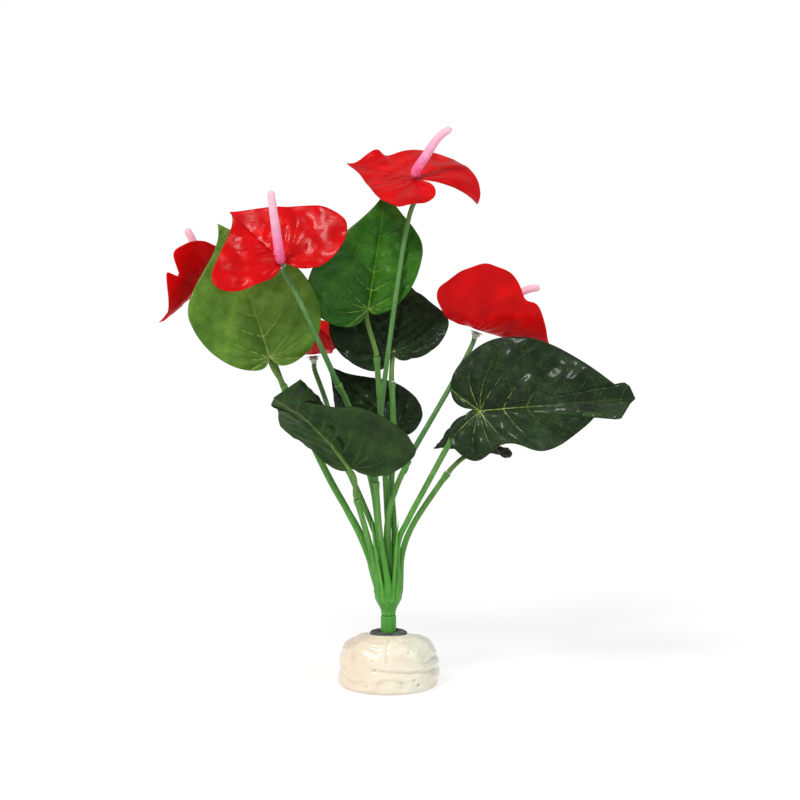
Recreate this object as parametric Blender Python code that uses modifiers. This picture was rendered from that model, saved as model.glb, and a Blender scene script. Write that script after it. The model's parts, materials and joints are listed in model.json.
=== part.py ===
"""Artificial anthurium bush set in a glazed ceramic rock: the shapes, sizes and places of its pieces.

Metres, +Z up, +X right, -Y towards the front. The origin is the middle of the rock's flat underside.
The plant's places are written in millimetres and turned into metres by mm().
"""

import math

import bmesh
import bpy
import numpy as np
from mathutils import Vector

MM = 0.001
GAP = 0.35  # mm between neighbouring pieces
JOINT_GAP = 0.5  # mm between a socket and its stalk

# Ceramic rock and what stands in it (mm)
ROCK_WIDTH = 60.5
ROCK_DEPTH = 55.0
ROCK_HEIGHT = 32.0
WELL_RADIUS = 9.6
WELL_FLOOR = 15.0
PUTTY_TOP = 31.0
TRUNK_RADIUS = 4.7
TRUNK_TOP = 43.4
HUB_TOP = 58.0
HUB_RADIUS = 9.0

# Moulded stems (mm): the bush's stems start from two rings on the hub
OUTER_RING = 6.8
INNER_RING = 2.7
STEM_RADIUS = 1.75
SOCKET_RADIUS = 2.3
PETIOLE_RADIUS = 1.45
RIB_RADIUS = 0.8
RIB_REACH = 0.55  # share of the blade's length that the rib on its back follows
STEM_STEP = 9.0  # mm between the points of a stem's curve

# Leaf and spathe blades (mm)
LEAF_THICKNESS = 0.8
SPATHE_THICKNESS = 1.0
LEAF_CREASE = 0.05  # how soon, as a share of the half's width, the fold starts
SPATHE_CREASE = 0.2
SPOKES = 10  # from the back of a lobe to the tip, on each side
RINGS = 4  # from the stalk to the edge

# Flower parts (mm)
STAR_THICKNESS = 0.7
STAR_REACH = 5.5
COLLAR_LENGTH = 3.4
COLLAR_RADIUS = 2.9
SPADIX_RADIUS = 2.9
STAR_DROP = SPATHE_THICKNESS / 2 + STAR_THICKNESS / 2 + 3 * GAP  # under the spathe's middle surface
COLLAR_FOOT = STAR_DROP + STAR_THICKNESS / 2 + GAP + COLLAR_LENGTH

COLOURS = {
    "cream_glaze": ((0.86, 0.78, 0.62), 0.2),
    "dark_putty": ((0.07, 0.08, 0.08), 0.7),
    "stem_green": ((0.11, 0.35, 0.08), 0.45),
    "olive_stalk": ((0.2, 0.24, 0.05), 0.45),
    "sheath_green": ((0.35, 0.55, 0.06), 0.45),
    "light_leaf": ((0.12, 0.27, 0.05), 0.4),
    "dark_leaf": ((0.02, 0.06, 0.015), 0.35),
    "red_spathe": ((0.72, 0.01, 0.012), 0.25),
    "pink_spadix": ((0.95, 0.45, 0.6), 0.4),
    "clear_collar": ((0.8, 0.85, 0.8), 0.2),
}

# Each blade runs from its base, where the stalk meets it, to its tip, and its upper side looks along
# face. Of each (left, right) pair, left is the left side seen from above with the tip ahead: widths
# of the two halves, where each is widest as a share of the length, how far each lobe reaches back,
# and fold and roll towards the upper side in degrees. bend and sway curve the midrib towards the
# upper side and the left, lobe_bend lifts the lobes, and neck is the width near the tip as a share of
# the half's. A dent draws the edge in: its side (0 is the left), place from 0 at the notch to 1 at
# the tip, width on the same scale, and depth.
BLADES = {
    "leaf_1": dict(base=(-71, -4, 202), tip=(-102, 8, 281), face=(0.1, -0.95, 0.25), halves=(40, 38),
                   widest=(0.42, 0.27), lobes=(8, 9), fold=(8, 8), roll=(8, 10), bend=-12, sway=10,
                   wave=1.0, phase=0.1, neck=(0.1, 0.5)),
    "leaf_2": dict(base=(-12, 6, 230), tip=(-1, 13, 301), face=(0.05, -0.97, 0.2), halves=(39, 30),
                   widest=(0.12, 0.50), lobes=(14, 4), fold=(6, 22), roll=(8, 12), bend=-10, wave=1.0,
                   phase=0.4),
    "leaf_3": dict(base=(3, 15, 203), tip=(10, 44, 243), face=(0.0, -0.78, 0.62), halves=(41, 32),
                   widest=(0.22, 0.36), lobes=(17, 7), fold=(5, 8), roll=(5, 10), bend=-8, wave=1.0,
                   phase=0.7),
    "leaf_4": dict(base=(-23, -13, 137), tip=(-67, -40, 184), face=(0.2, 0.75, 0.6), halves=(44, 30),
                   widest=(0.0, 0.5), lobes=(12, 5), fold=(8, 18), roll=(5, 5), bend=-18, sway=-20,
                   wave=1.2, phase=0.2),
    "leaf_5": dict(base=(55, -6, 170), tip=(147, -16, 179), face=(0.0, -0.95, 0.3), halves=(43, 36),
                   widest=(0.18, 0.12), lobes=(19, 21), fold=(3, 5), roll=(-6, 10), bend=-10, wave=1.4,
                   phase=0.6, neck=(0.55, 0.25), dents=[(1, 0.52, 0.09, 14)]),
    "leaf_6": dict(base=(58, 26, 144), tip=(27, 3, 146), face=(-0.1, -0.35, 0.93), halves=(27, 21),
                   widest=(0.15, 0.15), lobes=(12, 12), fold=(5, 5), roll=(5, 5), bend=-12, wave=0.8,
                   phase=0.5),
    "leaf_7": dict(base=(2, 19, 155), tip=(-38, 25, 193), face=(0.3, -0.8, 0.4), halves=(28, 25),
                   widest=(0.2, 0.05), lobes=(8, 11), fold=(-50, 5), roll=(-10, 5), bend=-8, wave=0.8,
                   phase=0.3),
    "flower_1": dict(base=(17, 2, 308), tip=(-25, 32, 315), face=(0.15, -0.43, 0.9), halves=(33, 37),
                     widest=(-0.2, 0.3), lobes=(21, 44), fold=(-3, 5), roll=(-5, 3), bend=5,
                     lobe_bend=-12, wave=0.8, phase=0.2),
    "flower_2": dict(base=(-63, -24, 262), tip=(-94, -5, 289), face=(-0.05, -0.8, 0.6), halves=(40, 45),
                     widest=(0.29, -0.15), lobes=(6, 20), fold=(3, 3), roll=(5, 5), bend=8, wave=0.8,
                     phase=0.5, neck=(0.0, 0.6)),
    "flower_3": dict(base=(-108, 33, 245), tip=(-137, 3, 222), face=(-0.3, -0.5, 0.8), halves=(39, 20),
                     widest=(0.36, -0.1), lobes=(16, 10), fold=(105, 45), roll=(6, 5), bend=8, wave=0.8,
                     phase=0.1, neck=(0.9, 0.1), dents=[(0, 0.66, 0.06, 20)]),
    "flower_4": dict(base=(54, 24, 215), tip=(99, 37, 202), face=(0.05, -0.1, 0.97), halves=(30, 46),
                     widest=(0.1, -0.16), lobes=(12, 32), fold=(25, 88), roll=(10, 6), bend=5,
                     lobe_bend=-3, wave=0.8, phase=0.8, neck=(0.6, 0.95), dents=[(1, 0.74, 0.08, 8)]),
    "flower_5": dict(base=(-46, 32, 199), tip=(-86, 44, 198), face=(0.0, -0.1, 0.97), halves=(40, 34),
                     widest=(0.1, 0.1), lobes=(18, 14), fold=(56, 25), roll=(20, 10), bend=5, wave=0.8,
                     phase=0.6),
}

# Stems: the slot's angle on its ring, the points that the stem passes, and the number of the point
# where the bush's own branch ends in a socket and the leaf's or flower's stalk begins.
STEMS = {
    "leaf_1": dict(ring=OUTER_RING, angle=178, joint=4,
                   path=[(-15.5, 2, 88), (-25, 4, 107), (-37, 4, 129), (-63, -1, 185)]),
    "leaf_2": dict(ring=INNER_RING, angle=60, joint=4,
                   path=[(0, 4, 90), (-3, 4, 148), (-5, 4, 173), (-7, 4, 201)]),
    "leaf_3": dict(ring=OUTER_RING, angle=55, joint=4,
                   path=[(3.5, 6.5, 95), (2, 7, 124), (3, 8.5, 157), (2, 11, 185)]),
    "leaf_4": dict(ring=OUTER_RING, angle=222, joint=2, path=[(-11, -8, 88), (-19, -10.5, 117)]),
    "leaf_5": dict(ring=OUTER_RING, angle=322, joint=4,
                   path=[(5.5, -5.5, 88), (12, -7, 104), (23, -7, 125), (40, -2, 156)]),
    "leaf_6": dict(ring=OUTER_RING, angle=10, joint=4,
                   path=[(8.5, 2, 82), (15, 3, 99), (30, 4, 122), (36, 6, 130), (47, 13, 139)]),
    "leaf_7": dict(ring=OUTER_RING, angle=95, joint=2, path=[(0, 11, 100), (2, 15, 130)]),
    "flower_1": dict(ring=OUTER_RING, angle=268, joint=2,
                     path=[(-5, -7, 95), (-7.5, -7, 127), (-4, -7, 173), (2, -7, 221), (8, -4, 262),
                           (13, 0, 288)]),
    "flower_2": dict(ring=INNER_RING, angle=240, joint=4,
                     path=[(-6, -1, 95), (-10, -1.5, 125), (-23, -7, 171), (-30, -11, 187),
                           (-50, -18, 233)]),
    "flower_3": dict(ring=OUTER_RING, angle=135, joint=4,
                     path=[(-16, 10, 90), (-26, 13, 108), (-38, 14, 130), (-63, 17, 180), (-72, 19, 201),
                           (-88, 25, 218)]),
    "flower_4": dict(ring=INNER_RING, angle=330, joint=4,
                     path=[(-1, -2, 90), (0.5, -1.5, 108), (5, -1, 123), (12, 0, 139), (39, 11, 185)]),
    "flower_5": dict(ring=INNER_RING, angle=150, joint=2,
                     path=[(-8, 3, 93), (-25, 9, 133), (-38, 19, 172)]),
}

# Spent sheaths: thin pointed spikes beside the stems
SPIKES = [
    [(2.9, -6.5, HUB_TOP + GAP), (4, -8.2, 75), (6, -9, 104)],
    [(-3.2, -6.9, HUB_TOP + GAP), (-8, -9.7, 86), (-10, -10.8, 104)],
    [(-7.3, 3.1, HUB_TOP + 2 * GAP), (-11.5, 5, 72), (-14.5, 6.5, 87)],
]

# How each spadix leans, from its foot to its tip (mm)
SPADICES = {
    "flower_1": (21, -4, 29),
    "flower_2": (-5, -12, 42),
    "flower_3": (-14, -3, 30),
    "flower_4": (38, 9, 23),
    "flower_5": (-15, 3, 24),
}


def mm(point):
    return Vector(point) * MM


def clear_scene():
    for obj in list(bpy.data.objects):
        bpy.data.objects.remove(obj, do_unlink=True)


def material(name):
    found = bpy.data.materials.get(name)
    if found:
        return found
    colour, roughness = COLOURS[name]
    made = bpy.data.materials.new(name)
    made.use_nodes = True
    shader = made.node_tree.nodes["Principled BSDF"]
    shader.inputs["Base Color"].default_value = (*colour, 1)
    shader.inputs["Roughness"].default_value = roughness
    made.diffuse_color = (*colour, 1)
    return made


def add_object(name, data, finish):
    obj = bpy.data.objects.new(name, data)
    data.materials.append(material(finish))
    PARTS.objects.link(obj)
    return obj


def mesh_object(name, bm, finish):
    bmesh.ops.remove_doubles(bm, verts=bm.verts, dist=1e-6)
    bmesh.ops.recalc_face_normals(bm, faces=bm.faces)
    mesh = bpy.data.meshes.new(name)
    bm.to_mesh(mesh)
    bm.free()
    mesh.shade_smooth()
    return add_object(name, mesh, finish)


# ---- Curves -------------------------------------------------------------------------------------

def smooth_path(points, step=STEM_STEP):
    """Points on one smooth curve through the given points, about a step apart (Catmull-Rom)."""
    pts = [Vector(p) for p in points]
    pts = [pts[0] * 2 - pts[1]] + pts + [pts[-1] * 2 - pts[-2]]
    path = []
    for a, b, c, d in zip(pts, pts[1:], pts[2:], pts[3:]):
        count = max(1, round((c - b).length / step))
        for i in range(count):
            t = i / count
            path.append(0.5 * (2 * b + (c - a) * t + (2 * a - 5 * b + 4 * c - d) * t * t
                               + (3 * b - a - 3 * c + d) * t ** 3))
    return path + [pts[-2]]


def tube(name, points, radii, finish):
    """A round tube along points (mm), with one radius (mm) for each point."""
    curve = bpy.data.curves.new(name, "CURVE")
    curve.dimensions = "3D"
    curve.bevel_depth = MM
    curve.bevel_resolution = 2
    curve.use_fill_caps = True
    spline = curve.splines.new("POLY")
    spline.points.add(len(points) - 1)
    for place, point, radius in zip(spline.points, points, radii):
        place.co = (*mm(point), 1)
        place.radius = radius
    return add_object(name, curve, finish)


def turned(name, profile, place, axis, finish, steps=14):
    """A solid of revolution from a (radius, height) profile in mm, standing at place along axis."""
    bm = bmesh.new()
    verts = [bm.verts.new((r * MM, 0, h * MM)) for r, h in profile]
    edges = [bm.edges.new(pair) for pair in zip(verts, verts[1:])]
    bmesh.ops.spin(bm, geom=verts + edges, cent=(0, 0, 0), axis=(0, 0, 1), angle=math.tau,
                   steps=steps, use_merge=True)
    obj = mesh_object(name, bm, finish)
    obj.location = mm(place)
    obj.rotation_euler = Vector(axis).to_track_quat("Z", "Y").to_euler()
    return obj


# ---- Blades -------------------------------------------------------------------------------------

def bezier(p0, p1, p2, p3, t):
    s = 1 - t
    return s ** 3 * p0 + 3 * s * s * t * p1 + 3 * s * t * t * p2 + t ** 3 * p3


def heart_edge(t, length, half, widest, lobe, neck):
    """Point on one half of a heart's edge: t is 0 at the notch behind the stalk and 1 at the tip."""
    notch = Vector((-0.45 * lobe, 0.05 * half))
    side = Vector((widest * length, half))
    tip = Vector((length, 0))
    if t < 0.5:
        back = Vector((-1.5 * lobe, 0.22 * half))
        flank = Vector((side.x - 0.5 * (side.x + lobe) - 0.1 * length, half))
        return bezier(notch, back, flank, side, 2 * t)
    flank = Vector((side.x + 0.42 * (length - side.x), half))
    near_tip = Vector((length - 0.4 * (length - side.x), neck * half))
    return bezier(side, flank, near_tip, tip, 2 * t - 1)


class Blade:
    """The curved surface of one leaf or spathe, in mm."""

    def __init__(self, base, tip, face, halves, widest, lobes, fold, roll, bend, wave, phase, crease,
                 sway=0, lobe_bend=0, neck=(0.25, 0.25), dents=()):
        self.base, chord = Vector(base), Vector(tip) - Vector(base)
        self.halves, self.widest, self.lobes, self.fold, self.roll = halves, widest, lobes, fold, roll
        self.wave, self.phase, self.crease, self.dents, self.neck = wave, phase, crease, dents, neck
        self.bend, self.sway, self.lobe_bend = map(math.radians, (bend, sway, lobe_bend))
        bent_chord = self.flat_rib(1.0, 1.0)
        self.length = chord.length / bent_chord.length
        self.turn = bent_chord.normalized().rotation_difference(Vector((1, 0, 0)))
        ahead = chord.normalized()
        up = (Vector(face) - ahead * ahead.dot(Vector(face))).normalized()
        self.axes = [ahead, up.cross(ahead), up]

    def flat_rib(self, share, length):
        """Point at this share of the rib, bent by bend and sway, starting along +X."""
        steps = 24
        point = Vector((0, 0, 0))
        for i in range(steps):
            q = share * (i + 0.5) / steps
            point += self.rib_axes(q)[0] * (share * length / steps)
        return point

    def rib_axes(self, q):
        lift, turn = self.bend * max(q, 0), self.sway * max(q, 0)
        lift -= self.lobe_bend * (min(q, 0) / 0.3) ** 2
        along = Vector((math.cos(lift) * math.cos(turn), math.cos(lift) * math.sin(turn), math.sin(lift)))
        left = Vector((-math.sin(turn), math.cos(turn), 0))
        return along, left, along.cross(left)

    def section(self, side, spread):
        """How far out and up a half reaches at this share of its width, measured along the cloth."""
        steps = 6
        out = rise = 0.0
        for i in range(steps):
            s = spread * (i + 0.5) / steps
            slope = math.radians(self.fold[side] * (1 - math.exp(-s / self.crease)) + self.roll[side] * s)
            out += math.cos(slope) * spread / steps * self.halves[side]
            rise += math.sin(slope) * spread / steps * self.halves[side]
        return out, rise

    def place(self, local):
        x, y, z = self.turn @ local
        ahead, left, up = self.axes
        return self.base + ahead * x + left * y + up * z

    def point(self, u, ring, lift=0.0):
        """u is -1 and 1 at the right and left sides of the notch and 0 at the tip; ring is 1 at the edge."""
        side = 0 if u > 0 else 1
        t = 1 - abs(u)
        edge = heart_edge(t, self.length, self.halves[side], self.widest[side], self.lobes[side],
                          self.neck[side])
        for where, middle, width, depth in self.dents:
            if where == side:
                edge.y -= depth * math.exp(-((t - middle) / width) ** 2) * min(1, 30 * (1 - t))
        along, across = edge * ring
        spread = across / self.halves[side]
        out, rise = self.section(side, spread)
        rise += lift
        rise += self.wave * ring ** 2 * math.sin(math.tau * (3 * t + self.phase)) * min(1, 3 * spread)
        q = along / self.length
        rib = self.flat_rib(q, self.length)
        _, left, up = self.rib_axes(q)
        return self.place(rib + left * (out if side == 0 else -out) + up * rise)

    def rib(self, share, lift):
        return self.point(0.0, share, lift)

    def normal(self):
        return (self.place(Vector((0, 0, 1))) - self.place(Vector((0, 0, 0)))).normalized()


def blade_solid(name, blade, thickness, finish):
    bm = bmesh.new()
    bmesh.ops.create_grid(bm, x_segments=2 * SPOKES, y_segments=RINGS, size=1)
    for vert in bm.verts:
        vert.co = mm(blade.point(vert.co.x, (vert.co.y + 1) / 2))
    obj = mesh_object(name, bm, finish)
    shell = obj.modifiers.new("thickness", "SOLIDIFY")
    shell.thickness = thickness * MM
    shell.offset = 0
    return obj


# ---- Rock, putty, trunk and hub -----------------------------------------------------------------

def rock_radius(angle, height):
    """The rock's outer radius over its mean radius, lumpy round the side and stepped in ledges."""
    level = height / ROCK_HEIGHT
    lumps = 0.022 * math.sin(3 * angle + 0.6) + 0.016 * math.sin(5 * angle - 1.1 + 2 * level)
    ledges = 0.018 * math.sin(9 * level + 1.5 * math.sin(angle + 0.4))
    return 1 + lumps + ledges


def ceramic_rock():
    profile = [(0, 0), (18, 0), (28.6, 0), (30.2, 3), (30.3, 11), (28.8, 18), (26.2, 24), (21.5, 28.4),
               (15.5, 31), (11.5, 32), (WELL_RADIUS, 31), (WELL_RADIUS - 0.4, WELL_FLOOR), (0, WELL_FLOOR)]
    obj = turned("ceramic_base", profile, (0, 0, 0), (0, 0, 1), "cream_glaze", steps=32)
    for vert in obj.data.vertices:
        x, y, z = vert.co / MM
        if math.hypot(x, y) > WELL_RADIUS + 3:
            swell = rock_radius(math.atan2(y, x), z) if z > 0.1 else 1
            vert.co = mm((x * swell, y * swell * ROCK_DEPTH / ROCK_WIDTH, z))
    return obj


def trunk_and_hub():
    putty = [(TRUNK_RADIUS + GAP, WELL_FLOOR + GAP), (WELL_RADIUS - 0.4 - GAP, WELL_FLOOR + GAP),
             (WELL_RADIUS - GAP, PUTTY_TOP - 1), (WELL_RADIUS - 1, PUTTY_TOP + 0.6),
             (TRUNK_RADIUS + 1.2, PUTTY_TOP + 1.2), (TRUNK_RADIUS + GAP, PUTTY_TOP + 0.8),
             (TRUNK_RADIUS + GAP, WELL_FLOOR + GAP)]
    turned("putty_ring", putty, (0, 0, 0), (0, 0, 1), "dark_putty", steps=18)
    sleeve = [(0, WELL_FLOOR + GAP), (TRUNK_RADIUS, WELL_FLOOR + GAP), (TRUNK_RADIUS, TRUNK_TOP - 0.8),
              (TRUNK_RADIUS - 0.6, TRUNK_TOP), (0, TRUNK_TOP)]
    turned("trunk_sleeve", sleeve, (0, 0, 0), (0, 0, 1), "stem_green", steps=18)
    hub = [(0, TRUNK_TOP + GAP), (4.3, TRUNK_TOP + GAP), (4.6, TRUNK_TOP + 3), (6.8, TRUNK_TOP + 7),
           (8.6, TRUNK_TOP + 10), (HUB_RADIUS, HUB_TOP - 1.5), (HUB_RADIUS - 0.4, HUB_TOP), (0, HUB_TOP)]
    turned("bush_hub", hub, (0, 0, 0), (0, 0, 1), "stem_green", steps=20)


# ---- Stems --------------------------------------------------------------------------------------

def stem_start(stem):
    angle = math.radians(stem["angle"])
    return stem["ring"] * math.cos(angle), stem["ring"] * math.sin(angle), HUB_TOP + GAP


def branch(name, stem):
    """The bush's own branch: from the hub to a socket that holds the stalk."""
    start = Vector(stem_start(stem))
    points = smooth_path([start, start + Vector((0, 0, 5)), *stem["path"][:stem["joint"]]])
    foot = 1.6 if stem["ring"] == INNER_RING else 1.9
    radii = [foot] + [STEM_RADIUS] * (len(points) - 2) + [SOCKET_RADIUS]
    end, before = points[-1], points[-2]
    neck = end + (before - end).normalized() * 4
    points = points[:-1] + [neck, end]
    radii = radii[:-1] + [STEM_RADIUS, SOCKET_RADIUS]
    tube(name, points, radii, "stem_green")
    heading = (end - neck).normalized()
    return [end + heading * JOINT_GAP, end + heading * 3]


def leaf_stalk(name, start, stem, blade):
    """Petiole from the socket to the blade, and on as a rib along the blade's back."""
    back = -(LEAF_THICKNESS / 2 + 2 * GAP)
    reach = [blade.rib(share, back - RIB_RADIUS) for share in (0.06, 0.3, RIB_REACH)]
    bow = blade.base - blade.axes[0] * 6 + blade.axes[2] * (back - PETIOLE_RADIUS - 1.5)
    stalk = smooth_path([*start, *stem["path"][stem["joint"]:], bow, reach[0]])
    points = stalk + reach[1:]
    radii = [PETIOLE_RADIUS] * (len(stalk) - 1) + [RIB_RADIUS, RIB_RADIUS, 0.35]
    tube(name, points, radii, "olive_stalk")


def flower_stalk(name, start, stem, blade):
    end = blade.base - blade.normal() * (COLLAR_FOOT + JOINT_GAP)
    points = smooth_path([*start, *stem["path"][stem["joint"]:], end - blade.normal() * 4, end])
    radii = [PETIOLE_RADIUS + 0.3] + [PETIOLE_RADIUS] * (len(points) - 1)
    tube(name, points, radii, "stem_green")


# ---- Flower parts -------------------------------------------------------------------------------

def star_calyx(name, blade):
    """Six short pointed arms in a shallow star, on the back of the spathe."""
    bm = bmesh.new()
    arms = 6
    bmesh.ops.create_circle(bm, cap_ends=True, segments=2 * arms, radius=1)
    for i, vert in enumerate(bm.verts):
        reach = STAR_REACH if i % 2 == 0 else 2.2
        vert.co = mm((vert.co.x * reach, vert.co.y * reach, 0))
    bmesh.ops.poke(bm, faces=bm.faces)
    obj = mesh_object(name, bm, "olive_stalk")
    obj.location = mm(blade.base - blade.normal() * STAR_DROP)
    obj.rotation_euler = blade.normal().to_track_quat("Z", "Y").to_euler()
    shell = obj.modifiers.new("thickness", "SOLIDIFY")
    shell.thickness = STAR_THICKNESS * MM
    shell.offset = 0


def clear_collar(name, blade):
    foot = blade.base - blade.normal() * COLLAR_FOOT
    profile = [(0, 0), (PETIOLE_RADIUS + 0.2, 0), (PETIOLE_RADIUS + 0.5, 1.4),
               (COLLAR_RADIUS, COLLAR_LENGTH - 0.7), (COLLAR_RADIUS - 0.7, COLLAR_LENGTH),
               (0, COLLAR_LENGTH)]
    turned(name, profile, foot, blade.normal(), "clear_collar", steps=10)


def spadix(name, blade, lean):
    foot = blade.base + blade.normal() * (SPATHE_THICKNESS / 2 + 4 * GAP)
    lean = Vector(lean)
    swing = blade.normal() * (0.55 * lean.length)
    points = [foot + swing * (t * (1 - t)) * 1.2 + lean * t for t in (0, 0.12, 0.3, 0.5, 0.7, 0.86, 0.96, 1)]
    points[0] = foot
    points[1] = foot + blade.normal() * 4
    shape = (0.5, 0.9, 1, 0.95, 0.85, 0.75, 0.55, 0.2)
    tube(name, points, [SPADIX_RADIUS * s for s in shape], "pink_spadix")


def build():
    ceramic_rock()
    trunk_and_hub()
    for name, stem in STEMS.items():
        kind, number = name.split("_")
        blade = Blade(**BLADES[name], crease=LEAF_CREASE if kind == "leaf" else SPATHE_CREASE)
        start = branch(f"{kind}_branch_{number}", stem)
        if kind == "leaf":
            leaf_stalk(f"leaf_petiole_{number}", start, stem, blade)
            finish = "light_leaf" if number in "12" else "dark_leaf"
            blade_solid(f"leaf_blade_{number}", blade, LEAF_THICKNESS, finish)
        else:
            flower_stalk(f"flower_stalk_{number}", start, stem, blade)
            clear_collar(f"clear_collar_{number}", blade)
            star_calyx(f"star_calyx_{number}", blade)
            blade_solid(f"spathe_{number}", blade, SPATHE_THICKNESS, "red_spathe")
            spadix(f"spadix_{number}", blade, SPADICES[name])
    for number, points in enumerate(SPIKES, 1):
        path = smooth_path(points)
        radii = [0.9 - 0.7 * i / (len(path) - 1) for i in range(len(path))]
        tube(f"sheath_spike_{number}", path, radii, "sheath_green")


clear_scene()
PARTS = bpy.data.collections.new("anthurium_bush")
bpy.context.scene.collection.children.link(PARTS)
build()
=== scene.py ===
# %% [markdown]
# # An artificial anthurium in a ceramic rock
# Heart-shaped leaves and red flowers of pressed cloth stand on moulded plastic stems. The stems meet
# in one hub on a short trunk, and a low glazed rock weights the foot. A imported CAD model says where
# every piece is. This script gives each piece its finished shape and surface, in the same frame.

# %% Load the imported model
import json
import math
from functools import partial

import bmesh
import bpy
import numpy as np
from mathutils import Matrix, Vector, noise

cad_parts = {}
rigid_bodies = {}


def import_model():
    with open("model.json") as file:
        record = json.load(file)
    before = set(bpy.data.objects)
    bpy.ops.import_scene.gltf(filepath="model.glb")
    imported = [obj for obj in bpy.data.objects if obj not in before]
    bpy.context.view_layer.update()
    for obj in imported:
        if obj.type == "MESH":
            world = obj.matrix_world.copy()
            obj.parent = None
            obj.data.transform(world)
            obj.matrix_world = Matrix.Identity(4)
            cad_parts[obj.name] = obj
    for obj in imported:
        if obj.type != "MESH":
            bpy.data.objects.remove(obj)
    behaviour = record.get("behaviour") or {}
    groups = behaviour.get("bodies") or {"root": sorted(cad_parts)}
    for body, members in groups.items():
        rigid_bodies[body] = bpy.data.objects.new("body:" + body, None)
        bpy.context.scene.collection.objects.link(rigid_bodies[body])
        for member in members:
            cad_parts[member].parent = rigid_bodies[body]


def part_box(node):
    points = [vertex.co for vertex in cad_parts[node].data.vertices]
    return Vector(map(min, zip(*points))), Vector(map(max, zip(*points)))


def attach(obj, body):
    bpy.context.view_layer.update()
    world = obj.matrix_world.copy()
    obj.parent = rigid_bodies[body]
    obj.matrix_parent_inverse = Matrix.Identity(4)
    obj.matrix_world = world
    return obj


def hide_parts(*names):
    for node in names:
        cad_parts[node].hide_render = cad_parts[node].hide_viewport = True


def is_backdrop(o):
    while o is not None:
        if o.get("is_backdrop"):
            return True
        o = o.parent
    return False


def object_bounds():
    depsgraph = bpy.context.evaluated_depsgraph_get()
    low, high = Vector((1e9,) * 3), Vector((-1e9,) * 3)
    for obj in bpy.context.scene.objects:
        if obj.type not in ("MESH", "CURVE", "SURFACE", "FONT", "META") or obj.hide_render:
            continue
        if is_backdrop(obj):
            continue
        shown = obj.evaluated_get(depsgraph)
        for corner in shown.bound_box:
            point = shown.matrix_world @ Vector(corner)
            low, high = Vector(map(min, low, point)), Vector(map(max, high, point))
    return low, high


for leftover in list(bpy.data.objects):
    bpy.data.objects.remove(leftover, do_unlink=True)
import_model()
cad_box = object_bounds()
MM = 0.001
print("CAD box:", [tuple(round(c, 4) for c in corner) for corner in cad_box])


# %% [markdown]
# ## Shader maths
# A pattern such as a net of veins is arithmetic on coordinates. Chains of Math nodes are hard to read
# when they are added one by one, so a socket is wrapped in a small class: an expression such as
# `1 - mask * 2` then adds its own nodes. One method adds any other kind of node.

# %% A socket that can be calculated with
class Wire:
    """An output socket of a material's tree. Arithmetic on it adds Math nodes."""

    def __init__(self, finish, socket):
        self.finish = finish
        self.socket = socket

    def __add__(self, other):
        return self.finish.maths("ADD", self, other)

    def __sub__(self, other):
        return self.finish.maths("SUBTRACT", self, other)

    def __rsub__(self, other):
        return self.finish.maths("SUBTRACT", other, self)

    def __mul__(self, other):
        return self.finish.maths("MULTIPLY", self, other)

    def __truediv__(self, other):
        return self.finish.maths("DIVIDE", self, other)

    __radd__ = __add__
    __rmul__ = __mul__


# %% A material in the making
class Finish:
    """A new material with a Principled shader, whose constant sockets are set when it is made."""

    def __init__(self, name, **constants):
        self.material = bpy.data.materials.new(name)
        self.material.use_nodes = True
        self.tree = self.material.node_tree
        self.shader = self.tree.nodes["Principled BSDF"]
        for socket, value in constants.items():
            self.feed(self.shader.inputs[socket.replace("_", " ")], value)

    def feed(self, socket, value):
        if isinstance(value, Wire):
            self.tree.links.new(value.socket, socket)
        elif socket.type == "RGBA":
            socket.default_value = (*value[:3], 1)
        else:
            socket.default_value = value

    def node(self, kind, sockets, out=0, stops=None, **settings):
        made = self.tree.nodes.new("ShaderNode" + kind)
        for key, value in settings.items():
            setattr(made, key, value)
        if stops:
            made.color_ramp.elements.remove(made.color_ramp.elements[1])
            made.color_ramp.elements[0].position = stops[0][0]
            made.color_ramp.elements[0].color = (*stops[0][1], 1)
            for position, colour in stops[1:]:
                made.color_ramp.elements.new(position).color = (*colour, 1)
        for key, value in sockets.items():
            self.feed(made.inputs[key], value)
        return Wire(self, made.outputs[out])

    def maths(self, operation, *values):
        return self.node("Math", dict(enumerate(values)), operation=operation)

    def clamp(self, value):
        return self.node("Clamp", {"Value": value})

    def step(self, value, low, high):
        """0 below low and 1 above high, smoothly."""
        return self.node("MapRange", {"Value": value, "From Min": low, "From Max": high},
                         interpolation_type="SMOOTHSTEP")

    def blend(self, factor, first, second):
        """The first colour where factor is 0 and the second where it is 1."""
        return self.node("Mix", {"Factor": factor, 6: first, 7: second}, out=2, data_type="RGBA")

    def noise(self, where, scale, detail=3.0, roughness=0.5):
        return self.node("TexNoise", {"Vector": where, "Scale": scale, "Detail": detail,
                                      "Roughness": roughness}, out="Fac")

    def place(self):
        return self.node("TexCoord", {}, out="Object")

    def axis(self, where, name):
        return self.node("SeparateXYZ", {"Vector": where}, out=name)

    def attribute(self, name):
        return self.node("Attribute", {}, out="Fac", attribute_name=name)

    def wear(self, **varying):
        """Links what changes over the surface: Base_Color, Roughness, Normal and so on."""
        for socket, value in varying.items():
            self.feed(self.shader.inputs[socket.replace("_", " ")], value)
        return self.material

    def bump(self, height, depth):
        return self.node("Bump", {"Height": height, "Distance": depth, "Strength": 1.0}, out="Normal")


def tint(red, green, blue):
    """A colour given in the 0 to 255 steps of a paint chart, as the linear values that shaders use."""
    return tuple((c / 255 / 12.92) if c < 10.4 else ((c / 255 + 0.055) / 1.055) ** 2.4
                 for c in (red, green, blue))


print("spathe red is", [round(c, 3) for c in tint(215, 14, 20)])


# %% [markdown]
# ## Putting a piece on the frame
# Every finished piece stands for one CAD node. The CAD node is hidden, but keeps its use in physics.
# Printing how far the finished piece stands outside its node's box shows at once if a shape drifted.

# %% Settle a piece in place of its CAD node
proud = {}


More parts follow.
